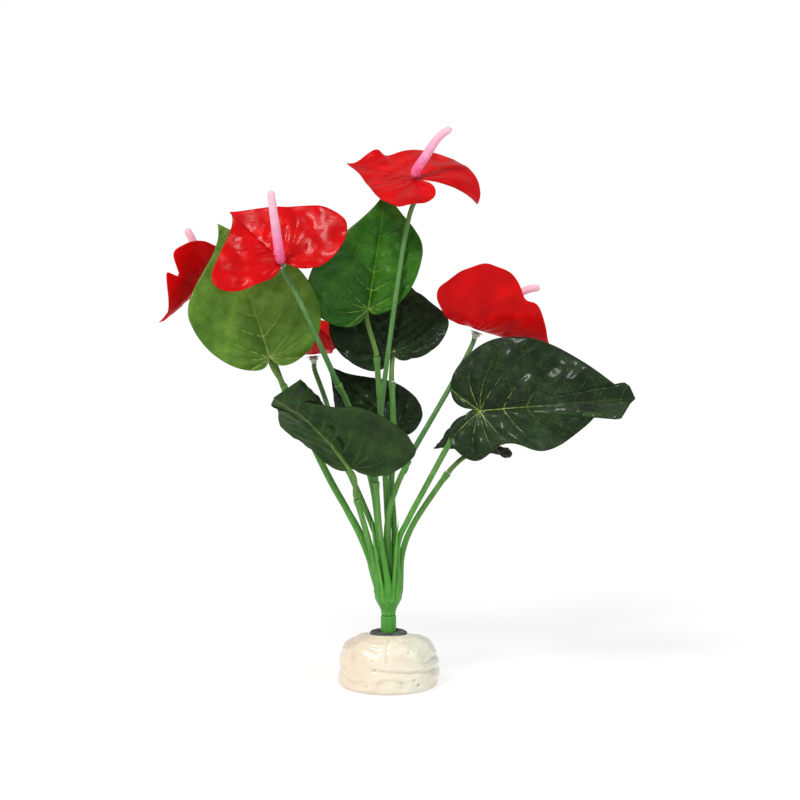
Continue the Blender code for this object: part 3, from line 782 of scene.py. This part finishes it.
# %% Places that the stems pass
HUB_TOP = 58.0
TRUNK_TOP = 43.4
STEM_GAP = 0.35
JOINT_GAP = 0.5
OUTER_RING = 6.8
INNER_RING = 2.7
STEM_RADIUS = 1.75
PETIOLE_RADIUS = 1.45
STEMS = {
    "leaf_1": (OUTER_RING, 178, 4, [(-15.5, 2, 88), (-25, 4, 107), (-37, 4, 129), (-63, -1, 185)]),
    "leaf_2": (INNER_RING, 60, 4, [(0, 4, 90), (-3, 4, 148), (-5, 4, 173), (-7, 4, 201)]),
    "leaf_3": (OUTER_RING, 55, 4, [(3.5, 6.5, 95), (2, 7, 124), (3, 8.5, 157), (2, 11, 185)]),
    "leaf_4": (OUTER_RING, 222, 2, [(-11, -8, 88), (-19, -10.5, 117)]),
    "leaf_5": (OUTER_RING, 322, 4, [(5.5, -5.5, 88), (12, -7, 104), (23, -7, 125), (40, -2, 156)]),
    "leaf_6": (OUTER_RING, 10, 4, [(8.5, 2, 82), (15, 3, 99), (30, 4, 122), (36, 6, 130), (47, 13, 139)]),
    "leaf_7": (OUTER_RING, 95, 2, [(0, 11, 100), (2, 15, 130)]),
    "flower_1": (OUTER_RING, 268, 2, [(-5, -7, 95), (-7.5, -7, 127), (-4, -7, 173), (2, -7, 221),
                                      (8, -4, 262), (13, 0, 288)]),
    "flower_2": (INNER_RING, 240, 4, [(-6, -1, 95), (-10, -1.5, 125), (-23, -7, 171), (-30, -11, 187),
                                      (-50, -18, 233)]),
    "flower_3": (OUTER_RING, 135, 4, [(-16, 10, 90), (-26, 13, 108), (-38, 14, 130), (-63, 17, 180),
                                      (-72, 19, 201), (-88, 25, 218)]),
    "flower_4": (INNER_RING, 330, 4, [(-1, -2, 90), (0.5, -1.5, 108), (5, -1, 123), (12, 0, 139),
                                      (39, 11, 185)]),
    "flower_5": (INNER_RING, 150, 2, [(-8, 3, 93), (-25, 9, 133), (-38, 19, 172)]),
}
STEP = 2.5  # mm between points of a finished path


def smooth_path(points, step=STEP):
    pts = [Vector(p) for p in points]
    pts = [pts[0] * 2 - pts[1]] + pts + [pts[-1] * 2 - pts[-2]]
    path = []
    for a, b, c, d in zip(pts, pts[1:], pts[2:], pts[3:]):
        count = max(1, round((c - b).length / step))
        for i in range(count):
            t = i / count
            path.append(0.5 * (2 * b + (c - a) * t + (2 * a - 5 * b + 4 * c - d) * t * t
                               + (3 * b - a - 3 * c + d) * t ** 3))
    return path + [pts[-2]]


def measured(path):
    """Distance along the path at each of its points, in mm."""
    lengths = [0.0]
    for a, b in zip(path, path[1:]):
        lengths.append(lengths[-1] + (b - a).length)
    return lengths


# %% The bush's branches
# A small bract stands on the side of flower 4's branch: the points along it, then its radius at each.
SPUR = ([(8.2, -0.4, 130), (10.6, -0.8, 131.6), (12.4, -1, 134.6)], [0.8, 0.6, 0.15])


def branch(name, node, stem, seed):
    """A branch flares into the hub at its foot and into a socket at its head."""
    ring, angle, joint, points = stem
    angle = math.radians(angle)
    start = Vector((ring * math.cos(angle), ring * math.sin(angle), HUB_TOP + STEM_GAP))
    deep = Vector((start.x * 0.62, start.y * 0.62, start.z - 6))
    root = Vector((start.x * 0.87, start.y * 0.87, start.z))
    path = smooth_path([deep, root, start + Vector((0, 0, 6)), *points[:joint]])
    swollen = 1.3 if ring == OUTER_RING else 0.8
    radii = [STEM_RADIUS + swollen * math.exp(-max(0, s - 7) / 10) for s in measured(path)]
    heading = (path[-1] - path[-2]).normalized()
    end = path[-1]
    while path and (path[-1] - end).length < 6:
        path.pop()
        radii.pop()
    socket = [(5.2, 0.0), (3.6, 0.25), (1.2, 0.5), (0.35, 0.5), (0.0, 0.3)]
    path += [end - heading * back for back, _ in socket]
    radii += [STEM_RADIUS + flare for _, flare in socket]
    runs = [(path, radii)] + ([SPUR] if name == "flower_4" else [])
    made = rod(node + "_stem", runs, BRANCH_GREEN, seed=seed, lump=0.25)
    settle(made, node, "stem_green")
    return [end + heading * JOINT_GAP, end + heading * 3]


# %% Stalks of the leaves and flowers
def leaf_stalk(number, start, points, blade, seed):
    """The stalk runs up to the blade, turns under it, and thins into the rib on its back."""
    back = -(0.4 + 2 * STEM_GAP)
    rib = [blade.on_midrib(share, back - 0.8) for share in (0.06, 0.3, 0.55)]
    bow = Vector(blade.base) - blade.ahead * 6 + blade.up * (back - PETIOLE_RADIUS - 1.5)
    stalk = smooth_path([*start, *points, bow, rib[0]])
    under = [rib[0].lerp(rib[1], 0.5), rib[1], rib[1].lerp(rib[2], 0.5), rib[2]]
    reach = measured(stalk)
    radii = [PETIOLE_RADIUS * (1 + 0.14 * math.exp(-s / 4)) for s in reach]
    radii[-3:] = [1.35, 1.15, 0.95]
    made = rod(f"leaf_petiole_{number}_stalk", [(stalk + under, radii + [0.85, 0.75, 0.55, 0.2])],
               STALK_OLIVE, seed=seed)
    settle(made, f"leaf_petiole_{number}", "olive_stalk")


SPATHE_HALF = 0.5
STAR_DROP = SPATHE_HALF + 0.35 + 3 * STEM_GAP
COLLAR_LENGTH = 3.4
COLLAR_FOOT = STAR_DROP + 0.35 + STEM_GAP + COLLAR_LENGTH


def flower_stalk(number, start, points, blade, seed):
    end = Vector(blade.base) - blade.up * (COLLAR_FOOT + JOINT_GAP)
    path = smooth_path([*start, *points, end - blade.up * 4, end])
    radii = [PETIOLE_RADIUS + 0.3 * math.exp(-s / 30) for s in measured(path)]
    made = rod(f"flower_stalk_{number}_stalk", [(path, radii)], STALK_GREEN, seed=seed)
    settle(made, f"flower_stalk_{number}", "stem_green")


for seed, (name, stem) in enumerate(STEMS.items()):
    kind, number = name.split("_")
    joint, points = stem[2:]
    start = branch(name, f"{kind}_branch_{number}", stem, seed * 1.7)
    finish_stalk = leaf_stalk if kind == "leaf" else flower_stalk
    finish_stalk(number, start, points[joint:], blades[name], seed * 2.3 + 50)
print("stems stand proud by (mm):", max(d for n, d in proud.items() if "branch" in n or "stalk" in n))


# %% Spent sheaths
SPIKES = [
    [(2.9, -6.5, HUB_TOP + STEM_GAP), (4, -8.2, 75), (6, -9, 104)],
    [(-3.2, -6.9, HUB_TOP + STEM_GAP), (-8, -9.7, 86), (-10, -10.8, 104)],
    [(-7.3, 3.1, HUB_TOP + 2 * STEM_GAP), (-11.5, 5, 72), (-14.5, 6.5, 87)],
]
for number, points in enumerate(SPIKES, 1):
    foot = Vector(points[0])
    path = smooth_path([Vector((foot.x * 0.8, foot.y * 0.8, foot.z - 6)), *points])
    last = len(path) - 1
    radii = [1.3 * (1 - i / last) ** 0.7 + 0.12 for i in range(len(path))]
    spike = rod(f"sheath_spike_{number}_skin", [(path, radii)], SHEATH_GREEN, sides=12, seed=number)
    settle(spike, f"sheath_spike_{number}", "sheath_green")


# %% [markdown]
# ## Spadix
# The spadix is the fleshy spike in the middle of the flower. Here it is soft plastic, pale pink at the
# tip and hot pink at the foot, with the faint beading of its tiny flowers. It is one more rod, with a
# blunt round end, and the colour follows the distance along it.

# %% Spadix finish
def spadix_finish():
    finish = Finish("pink_spadix", IOR=1.42, Coat_Roughness=0.25, Subsurface_Weight=0.15,
                    Subsurface_Radius=(0.004, 0.0015, 0.0015), Subsurface_Scale=0.6)
    along = finish.attribute("along")
    colour = finish.node("ValToRGB", {"Fac": along}, stops=[
        (0.0, tint(168, 16, 60)), (0.07, tint(236, 62, 128)), (0.3, tint(250, 132, 182)),
        (0.6, tint(250, 180, 206)), (1.0, tint(250, 196, 208))])
    beads = finish.node("TexVoronoi", {"Vector": finish.place(), "Scale": 900.0}, out="Distance")
    mottle = finish.noise(finish.place(), 240.0)
    colour = finish.blend(finish.step(mottle, 0.4, 0.8) * 0.3, colour, tint(255, 214, 224))
    return finish.wear(Base_Color=colour, Roughness=0.34 + mottle * 0.15,
                       Normal=finish.bump((1 - beads) * 0.7 + mottle, 0.00018))


SPADIX_PINK = spadix_finish()
SPADIX_RADIUS = 3.0
SPADICES = {"flower_1": (21, -4, 29), "flower_2": (-5, -12, 42), "flower_3": (-14, -3, 30),
            "flower_4": (38, 9, 23), "flower_5": (-15, 3, 24)}

# %% Make the spadices
def spadix_path(blade, lean):
    foot = Vector(blade.base) + blade.up * (SPATHE_HALF + 2 * STEM_GAP)
    lean = Vector(lean)
    swing = blade.up * (0.66 * lean.length)
    bow = [foot + swing * (t * (1 - t)) + lean * t for t in (0.3, 0.5, 0.7, 0.86, 1)]
    return smooth_path([foot, foot + blade.up * 4, *bow], step=1.4)


for seed, (name, lean) in enumerate(SPADICES.items()):
    path = spadix_path(blades[name], lean)
    reach = measured(path)
    share = [s / reach[-1] for s in reach]
    blunt = [math.sqrt(max(0.0, 1 - max(0.0, (s - 0.93) / 0.07) ** 2)) for s in share]
    radii = [SPADIX_RADIUS * (1.05 - 0.32 * s) * (0.08 + 0.92 * end) for s, end in zip(share, blunt)]
    radii[0] *= 0.7
    node = "spadix_" + name[-1]
    settle(rod(node + "_flesh", [(path, radii)], SPADIX_PINK, sides=28, seed=seed), node, "pink_spadix")
print("spadices stand proud by (mm):", {n: d for n, d in proud.items() if "spadix" in n})


# %% [markdown]
# ## Turned pieces
# The rock, the putty, the trunk, the hub and the collars are round about an axis. Each starts as a
# profile that is spun, and the rock and the hub are then pushed out of round by a function of the
# angle and the height. Deforming a spun mesh keeps its poles and its seam closed.

# %% Spin a profile
def spun(name, profile, steps, shape=None):
    """A closed mesh from (radius, height) points in mm. shape moves each point, given in mm."""
    bm = bmesh.new()
    verts = [bm.verts.new((r, 0, h)) for r, h in profile]
    edges = [bm.edges.new(pair) for pair in zip(verts, verts[1:])]
    bmesh.ops.spin(bm, geom=verts + edges, cent=(0, 0, 0), axis=(0, 0, 1), angle=math.tau,
                   steps=steps, use_merge=True)
    bmesh.ops.remove_doubles(bm, verts=bm.verts, dist=1e-4)
    if shape:
        for vert in bm.verts:
            vert.co = shape(vert.co)
    bmesh.ops.recalc_face_normals(bm, faces=bm.faces)
    bmesh.ops.scale(bm, vec=(MM, MM, MM), verts=bm.verts)
    mesh = bpy.data.meshes.new(name)
    bm.to_mesh(mesh)
    bm.free()
    return mesh


def rounded(profile, step):
    """A profile with extra points on a smooth curve through its corners."""
    path = smooth_path([(r, h, 0) for r, h in profile], step)
    return [(max(0.0, p.x), p.y) for p in path]


# %% [markdown]
# ## The ceramic rock
# The rock is slip-cast stoneware: a low dome with worn ledges, a crease down the front, small pits and
# a thick cream glaze. Broad lumps come from a few sines, the ledges from steps that follow the height,
# and fine wear from fractal noise. Where the surface is hollow, a value is stored for the finish.

# %% Shape of the rock
ROCK_HEIGHT = 32.0
ROCK_SQUASH = 55.0 / 60.5  # depth over width
WELL_RADIUS = 9.6
WELL_FLOOR = 15.0
hollows = {}


def ledge(level):
    """How far a worn step stands out: a slow swell and a short fall, once for each unit of level."""
    turn = math.tau * level
    return math.sin(turn + 0.7 * math.sin(turn))


def rock_shape(place):
    x, y, z = place
    radius = math.hypot(x, y)
    if radius < WELL_RADIUS + 1.2 or z < 0.05:
        return Vector((x, y * (ROCK_SQUASH if z < 0.05 else 1), z))
    angle = math.atan2(y, x)
    level = z / ROCK_HEIGHT
    free = min(1.0, (radius - WELL_RADIUS - 1.2) / 5) * min(1.0, z / 3)
    lumps = 0.022 * math.sin(3 * angle + 0.6) + 0.016 * math.sin(5 * angle - 1.1 + 2 * level)
    drift = noise.noise(Vector((x, y, z * 1.5)) * 0.045)
    steps = ledge(2.6 * level + 0.35 * math.sin(angle + 0.9) + 1.1 * drift)
    worn = noise.fractal(Vector((x, y, z * 1.6)) * 0.11, 0.9, 2.1, 4)
    chips = noise.ridged_multi_fractal(Vector((x + 9, y, z * 2.2)) * 0.05, 1.0, 2.0, 3, 1.0, 2.0)
    crease = math.exp(-((x + 0.4 + 0.8 * math.sin(z / 3)) / 0.7) ** 2)
    crease *= 1.0 if y < 0 and 19 < z < 31 else 0.0
    pits = max(0.0, noise.noise(Vector((x, y, z)) * 0.42 + Vector((3, 5, 1))) - 0.58) * 7
    push = lumps * 30 + 0.55 * steps + 0.4 * worn + 0.4 * (chips - 1) - 0.8 * crease - pits
    push *= free
    hollow = min(1.0, max(0.0, 0.8 * crease + 0.8 * pits - 0.4 * worn - 0.25 * steps))
    swell = 1 + push / 30
    tilt = -0.1 * y * level ** 6
    moved = Vector((x * swell, y * swell * ROCK_SQUASH, z + 0.4 * push * level + tilt))
    hollows[tuple(round(c * 10) for c in moved)] = hollow * free
    return moved


def store_hollows(mesh):
    attribute = mesh.attributes.new("hollow", "FLOAT", "POINT")
    keys = (tuple(round(c * 10000) for c in vert.co) for vert in mesh.vertices)
    attribute.data.foreach_set("value", [hollows.get(key, 0.0) for key in keys])


# %% Glaze and putty
def glaze_finish():
    finish = Finish("cream_glaze", IOR=1.52, Coat_Roughness=0.06)
    place = finish.place()
    broad = finish.noise(place, 45.0, 3.0)
    fine = finish.noise(place, 420.0, 4.0)
    hue = finish.step(finish.axis(place, "X") + (broad - 0.5) * 0.03, -0.026, 0.026)
    colour = finish.node("ValToRGB", {"Fac": hue}, stops=[
        (0.0, tint(238, 220, 194)), (0.35, tint(241, 228, 204)), (0.7, tint(239, 232, 210)),
        (1.0, tint(232, 233, 213))])
    # Darker, browner and rougher where the rock's shape stored a hollow: the crease, the pits and the
    # sunk parts of the ledges.
    hollow_dark = finish.clamp(finish.attribute("hollow") * 0.9)
    colour = finish.blend(hollow_dark * 0.35, colour, tint(186, 160, 128))
    rim = 1 - finish.step(finish.axis(place, "Z"), 0.0002, 0.0022)
    colour = finish.blend(rim * 0.5, colour, tint(186, 160, 130))
    colour = finish.blend(finish.step(broad, 0.5, 0.72) * 0.35, colour, tint(232, 198, 168))
    height = broad * 0.7 + fine * 0.18 - hollow_dark * 0.4
    return finish.wear(Base_Color=colour, Roughness=0.2 + fine * 0.14 + hollow_dark * 0.2,
                       Coat_Weight=0.5 + broad * 0.4, Normal=finish.bump(height, 0.0006))


def putty_finish():
    finish = Finish("dark_putty")
    place = finish.place()
    grain = finish.noise(place, 900.0, 5.0)
    patch = finish.noise(place, 160.0)
    colour = finish.blend(finish.step(patch, 0.4, 0.7), tint(58, 62, 64), tint(92, 98, 100))
    return finish.wear(Base_Color=colour, Roughness=0.55 + grain * 0.3,
                       Normal=finish.bump(grain + patch, 0.0005))


# %% Make the rock and its putty
ROCK_OUTLINE = [(0, 0), (18, 0), (28.2, 0), (30.1, 1.2), (30.6, 5), (30.1, 12), (29.0, 18.5),
                (27.0, 24), (23, 27.8), (17, 30.4), (12.5, 31.7), (10.2, 31.7), (WELL_RADIUS - 0.1, 30.5)]
well = [(WELL_RADIUS - 0.2, 26), (WELL_RADIUS - 0.4, WELL_FLOOR), (0, WELL_FLOOR)]
dome = [(0, 0), (10, 0), (20, 0)] + rounded(ROCK_OUTLINE[2:], 0.55) + well
rock_mesh = spun("rock_glazed", dome, 220, rock_shape)
store_hollows(rock_mesh)
rock = add_mesh("rock_glazed", rock_mesh, glaze_finish())
settle(rock, "ceramic_base", "cream_glaze")

TRUNK_RADIUS = 4.7
PUTTY_TOP = 31.0
putty_outline = [(TRUNK_RADIUS + 0.1, WELL_FLOOR + 0.4), (WELL_RADIUS - 0.8, WELL_FLOOR + 0.4),
                 (WELL_RADIUS - 0.4, PUTTY_TOP), (WELL_RADIUS + 1.8, PUTTY_TOP + 1.0),
                 (WELL_RADIUS + 1.6, PUTTY_TOP + 1.8), (WELL_RADIUS - 1.6, PUTTY_TOP + 2.8),
                 (TRUNK_RADIUS + 0.1, PUTTY_TOP + 2.4),
                 (TRUNK_RADIUS + 0.1, WELL_FLOOR + 0.4)]


def putty_shape(place):
    rough = noise.fractal(place * 0.5, 1.0, 2.0, 3) * 0.35 if place.z > PUTTY_TOP - 0.5 else 0.0
    return place + Vector((0, 0, rough))


putty_profile = [p for a, b in zip(putty_outline, putty_outline[1:])
                 for p in [a, ((a[0] + b[0]) / 2, (a[1] + b[1]) / 2)]] + [putty_outline[-1]]
putty = add_mesh("putty_skin", spun("putty_skin", putty_profile, 72, putty_shape), putty_finish())
settle(putty, "putty_ring", "dark_putty")
print("rock and putty stand proud by (mm):", proud["ceramic_base"], proud["putty_ring"])


# %% [markdown]
# ## Trunk and hub
# The trunk is a short plastic sleeve. The hub above it is a moulded crown: one swelling under each
# outer branch, with grooves between them, so that the branches seem to grow out of it. The swellings
# are a bump function of the angle, centred on the branches' own slots.

# %% Make the trunk and the hub
OUTER_SLOTS = [math.radians(stem[1]) for stem in STEMS.values() if stem[0] == OUTER_RING]


def hub_shape(place):
    x, y, z = place
    radius, angle = math.hypot(x, y), math.atan2(y, x)
    if radius < 0.5:
        return place
    share = max(0.0, min(1.0, (z - TRUNK_TOP - 2) / (HUB_TOP - TRUNK_TOP - 2)))
    apart = [abs((angle - slot + math.pi) % math.tau - math.pi) for slot in OUTER_SLOTS]
    lobes = sum(math.exp(-(a / 0.3) ** 2) for a in apart)
    swell = 1 + share * (0.2 * min(1.0, lobes) - 0.12)
    return Vector((x * swell, y * swell, z))


TRUNK_OUTLINE = [(0, WELL_FLOOR + 0.4), (TRUNK_RADIUS, WELL_FLOOR + 0.4), (TRUNK_RADIUS + 0.1, 30),
                 (TRUNK_RADIUS - 0.05, 36), (TRUNK_RADIUS, TRUNK_TOP - 1.2),
                 (TRUNK_RADIUS - 0.15, TRUNK_TOP - 0.3), (TRUNK_RADIUS - 0.7, TRUNK_TOP), (0, TRUNK_TOP)]
HUB_OUTLINE = [(0, TRUNK_TOP + 0.1), (3.9, TRUNK_TOP + 0.1), (4.35, TRUNK_TOP + 0.6),
               (4.5, TRUNK_TOP + 2.6), (5.2, TRUNK_TOP + 4.8), (6.8, TRUNK_TOP + 7.8),
               (7.9, TRUNK_TOP + 10.4), (7.7, HUB_TOP - 2.2), (6.4, HUB_TOP - 0.8), (3, HUB_TOP - 0.3),
               (0, HUB_TOP - 0.3)]


def finely(outline, parts=6):
    """The same outline with each side cut into equal parts."""
    points = [tuple(a[k] + (b[k] - a[k]) * i / parts for k in (0, 1))
              for a, b in zip(outline, outline[1:]) for i in range(parts)]
    return points + [outline[-1]]


trunk = add_mesh("trunk_skin", spun("trunk_skin", finely(TRUNK_OUTLINE, 3), 60), HUB_GREEN)
settle(trunk, "trunk_sleeve", "stem_green")
hub = add_mesh("hub_crown", spun("hub_crown", finely(HUB_OUTLINE), 120, hub_shape), HUB_GREEN)
soften = hub.modifiers.new("soften", "SMOOTH")
soften.factor = 0.5
soften.iterations = 6
settle(hub, "bush_hub", "stem_green")
print("trunk and hub stand proud by (mm):", proud["trunk_sleeve"], proud["bush_hub"])


# %% [markdown]
# ## Collars and stars
# Behind each spathe sits a star of pointed sepals, and a cloudy plastic collar joins it to the stalk.
# The star repeats one arm round a circle, so it is a Geometry Nodes tree with the number of arms and
# their reach as inputs. Both are made once, upright at the origin, and each flower gets a turned copy
# whose place is written into its mesh.

# %% Star tree
def star_tree():
    tree, given = new_tree("star_of_sepals", {
        "Hidden": "Geometry", "Arms": "Int", "Reach": "Float", "Width": "Float", "Finish": "Material"})
    add = partial(geometry_node, tree)
    centres = add("GeometryNodeMeshCircle", {"Vertices": given["Arms"], "Radius": 0.0006})
    arm = add("GeometryNodeMeshCone",
              {"Vertices": 10, "Side Segments": 8, "Radius Top": 0.0, "Radius Bottom": given["Width"],
               "Depth": given["Reach"]}, out="Mesh")
    laid = add("GeometryNodeTransform", {"Geometry": arm, "Rotation": (0, math.pi / 2, 0)})
    flat = add("GeometryNodeTransform", {"Geometry": laid, "Scale": (1.0, 1.0, 0.35)})
    index = add("GeometryNodeInputIndex", {})
    turn = add("ShaderNodeMath", {0: index, 1: math.tau}, operation="MULTIPLY")
    each = add("ShaderNodeMath", {0: turn, 1: given["Arms"]}, operation="DIVIDE")
    spin = add("ShaderNodeCombineXYZ", {"Z": each})
    arms = add("GeometryNodeInstanceOnPoints", {"Points": centres, "Instance": flat, "Rotation": spin})
    disc = add("GeometryNodeMeshUVSphere", {"Segments": 20, "Rings": 10, "Radius": 0.0024}, out="Mesh")
    low = add("GeometryNodeTransform", {"Geometry": disc, "Scale": (1.0, 1.0, 0.16)})
    join = tree.nodes.new("GeometryNodeJoinGeometry")
    tree.links.new(arms, join.inputs[0])
    tree.links.new(low, join.inputs[0])
    return close_tree(tree, join.outputs[0], given["Finish"])


# %% Star and collar finishes
def sepal_finish():
    finish = Finish("star_sepals", IOR=1.45)
    speckle = finish.noise(finish.place(), 700.0)
    colour = finish.blend(finish.step(speckle, 0.35, 0.7), tint(120, 134, 84), tint(156, 168, 118))
    return finish.wear(Base_Color=colour, Roughness=0.35 + speckle * 0.2,
                       Normal=finish.bump(speckle, 0.0002))


def collar_finish():
    finish = Finish("cloudy_collar", IOR=1.46, Transmission_Weight=0.35)
    cloud = finish.noise(finish.place(), 500.0)
    colour = finish.blend(cloud, tint(206, 214, 196), tint(238, 242, 232))
    return finish.wear(Base_Color=colour, Roughness=0.12 + cloud * 0.2,
                       Normal=finish.bump(cloud, 0.0003))


# %% Make the collars and stars
def turned_to(mesh, name, foot, up):
    """A copy of a mesh that was made upright at the origin, moved to foot and turned to up."""
    copy = mesh.copy()
    copy.name = name
    turn = up.to_track_quat("Z", "Y").to_matrix().to_4x4()
    copy.transform(Matrix.Translation(foot * MM) @ turn)
    return copy


SEPALS, COLLAR = sepal_finish(), collar_finish()
star_mesh = bake("star", bpy.data.meshes.new("star_seed"), star_tree(),
                 {"Arms": 6, "Reach": 0.0048, "Width": 0.0011, "Finish": SEPALS})
COLLAR_OUTLINE = [(0, 0), (1.5, 0), (1.75, 0.25), (1.8, 1.2), (2.3, 2.0), (2.85, 2.6), (2.8, 3.0),
                  (2.2, COLLAR_LENGTH), (0, COLLAR_LENGTH)]
collar_mesh = spun("collar", finely(COLLAR_OUTLINE, 3), 32)
for name in SPADICES:
    number, blade = name[-1], blades[name]
    base = Vector(blade.base)
    star = turned_to(star_mesh, f"star_{number}_sepals", base - blade.up * STAR_DROP, blade.up)
    settle(add_mesh(star.name, star, SEPALS), f"star_calyx_{number}", "olive_stalk")
    collar = turned_to(collar_mesh, f"collar_{number}_clear", base - blade.up * COLLAR_FOOT, blade.up)
    settle(add_mesh(collar.name, collar, COLLAR), f"clear_collar_{number}", "clear_collar")


# %% [markdown]
# ## Stage, light and camera
# The floor is a wide plain sheet that glows, so it stays white to the horizon and shadows on it stay
# faint. A soft sun from the front left is the key, and a weaker and softer one fills from the right.
# The camera stands a little above the plant and looks slightly down, through a long lens.

# %% Floor and lights
def floor_finish():
    finish = Finish("studio_floor", Roughness=0.9, Specular_IOR_Level=0.0, Emission_Color=(1, 1, 1),
                    Emission_Strength=0.82)
    grain = finish.noise(finish.place(), 30.0)
    return finish.wear(Base_Color=finish.blend(grain, tint(118, 118, 118), tint(121, 121, 121)))


bpy.ops.mesh.primitive_circle_add(vertices=96, radius=60, fill_type="NGON", location=(0, 0, 0))
floor = bpy.context.object
floor.name = "studio_floor"
floor.data.materials.append(floor_finish())
floor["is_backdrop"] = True


def add_sun(name, azimuth, elevation, strength, softness):
    """A sun in the direction that azimuth and elevation name. Softness is its width in the sky."""
    data = bpy.data.lights.new(name, "SUN")
    data.energy = strength
    data.angle = math.radians(softness)
    light = bpy.data.objects.new(name, data)
    bpy.context.scene.collection.objects.link(light)
    a, e = math.radians(azimuth), math.radians(elevation)
    back = Vector((math.sin(a) * math.cos(e), -math.cos(a) * math.cos(e), math.sin(e)))
    light.location = Vector((0, 0, 0.2)) + back * 1.6
    light.rotation_euler = back.to_track_quat("Z", "Y").to_euler()


add_sun("key", -35, 52, strength=2.0, softness=14)
add_sun("fill", 55, 40, strength=0.45, softness=60)
world = bpy.data.worlds.new("studio")
world.use_nodes = True
sky = world.node_tree.nodes["Background"].inputs
sky["Color"].default_value = (1.0, 1.0, 1.0, 1)
sky["Strength"].default_value = 0.45
bpy.context.scene.world = world
bpy.context.scene.view_settings.view_transform = "Standard"

# %% Camera
AIM = Vector((0.007, 0, 0.1756))
DISTANCE = 1.7
ELEVATION = math.radians(9)
camera_data = bpy.data.cameras.new("camera")
camera_data.sensor_width = 36
camera_data.lens = 127.5
camera_data.clip_end = 200
camera = bpy.data.objects.new("camera", camera_data)
bpy.context.scene.collection.objects.link(camera)
behind = Vector((0, -math.cos(ELEVATION), math.sin(ELEVATION)))
camera.location = AIM + behind * DISTANCE
camera.rotation_euler = behind.to_track_quat("Z", "Y").to_euler()
bpy.context.scene.camera = camera

# %% [markdown]
# ## Measure and finish
# Both boxes are printed: the CAD model's, and the finished plant's, which is meant to fill the same room.

# %% Boxes of the CAD model and of the finished plant
worst = sorted(proud.items(), key=lambda pair: -pair[1])[:6]
print("furthest outside their nodes (mm):", worst)
sizes = {"cad": [list(corner) for corner in cad_box],
         "visual": [list(corner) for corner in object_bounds()]}
print({key: [[round(c, 4) for c in corner] for corner in box] for key, box in sizes.items()})
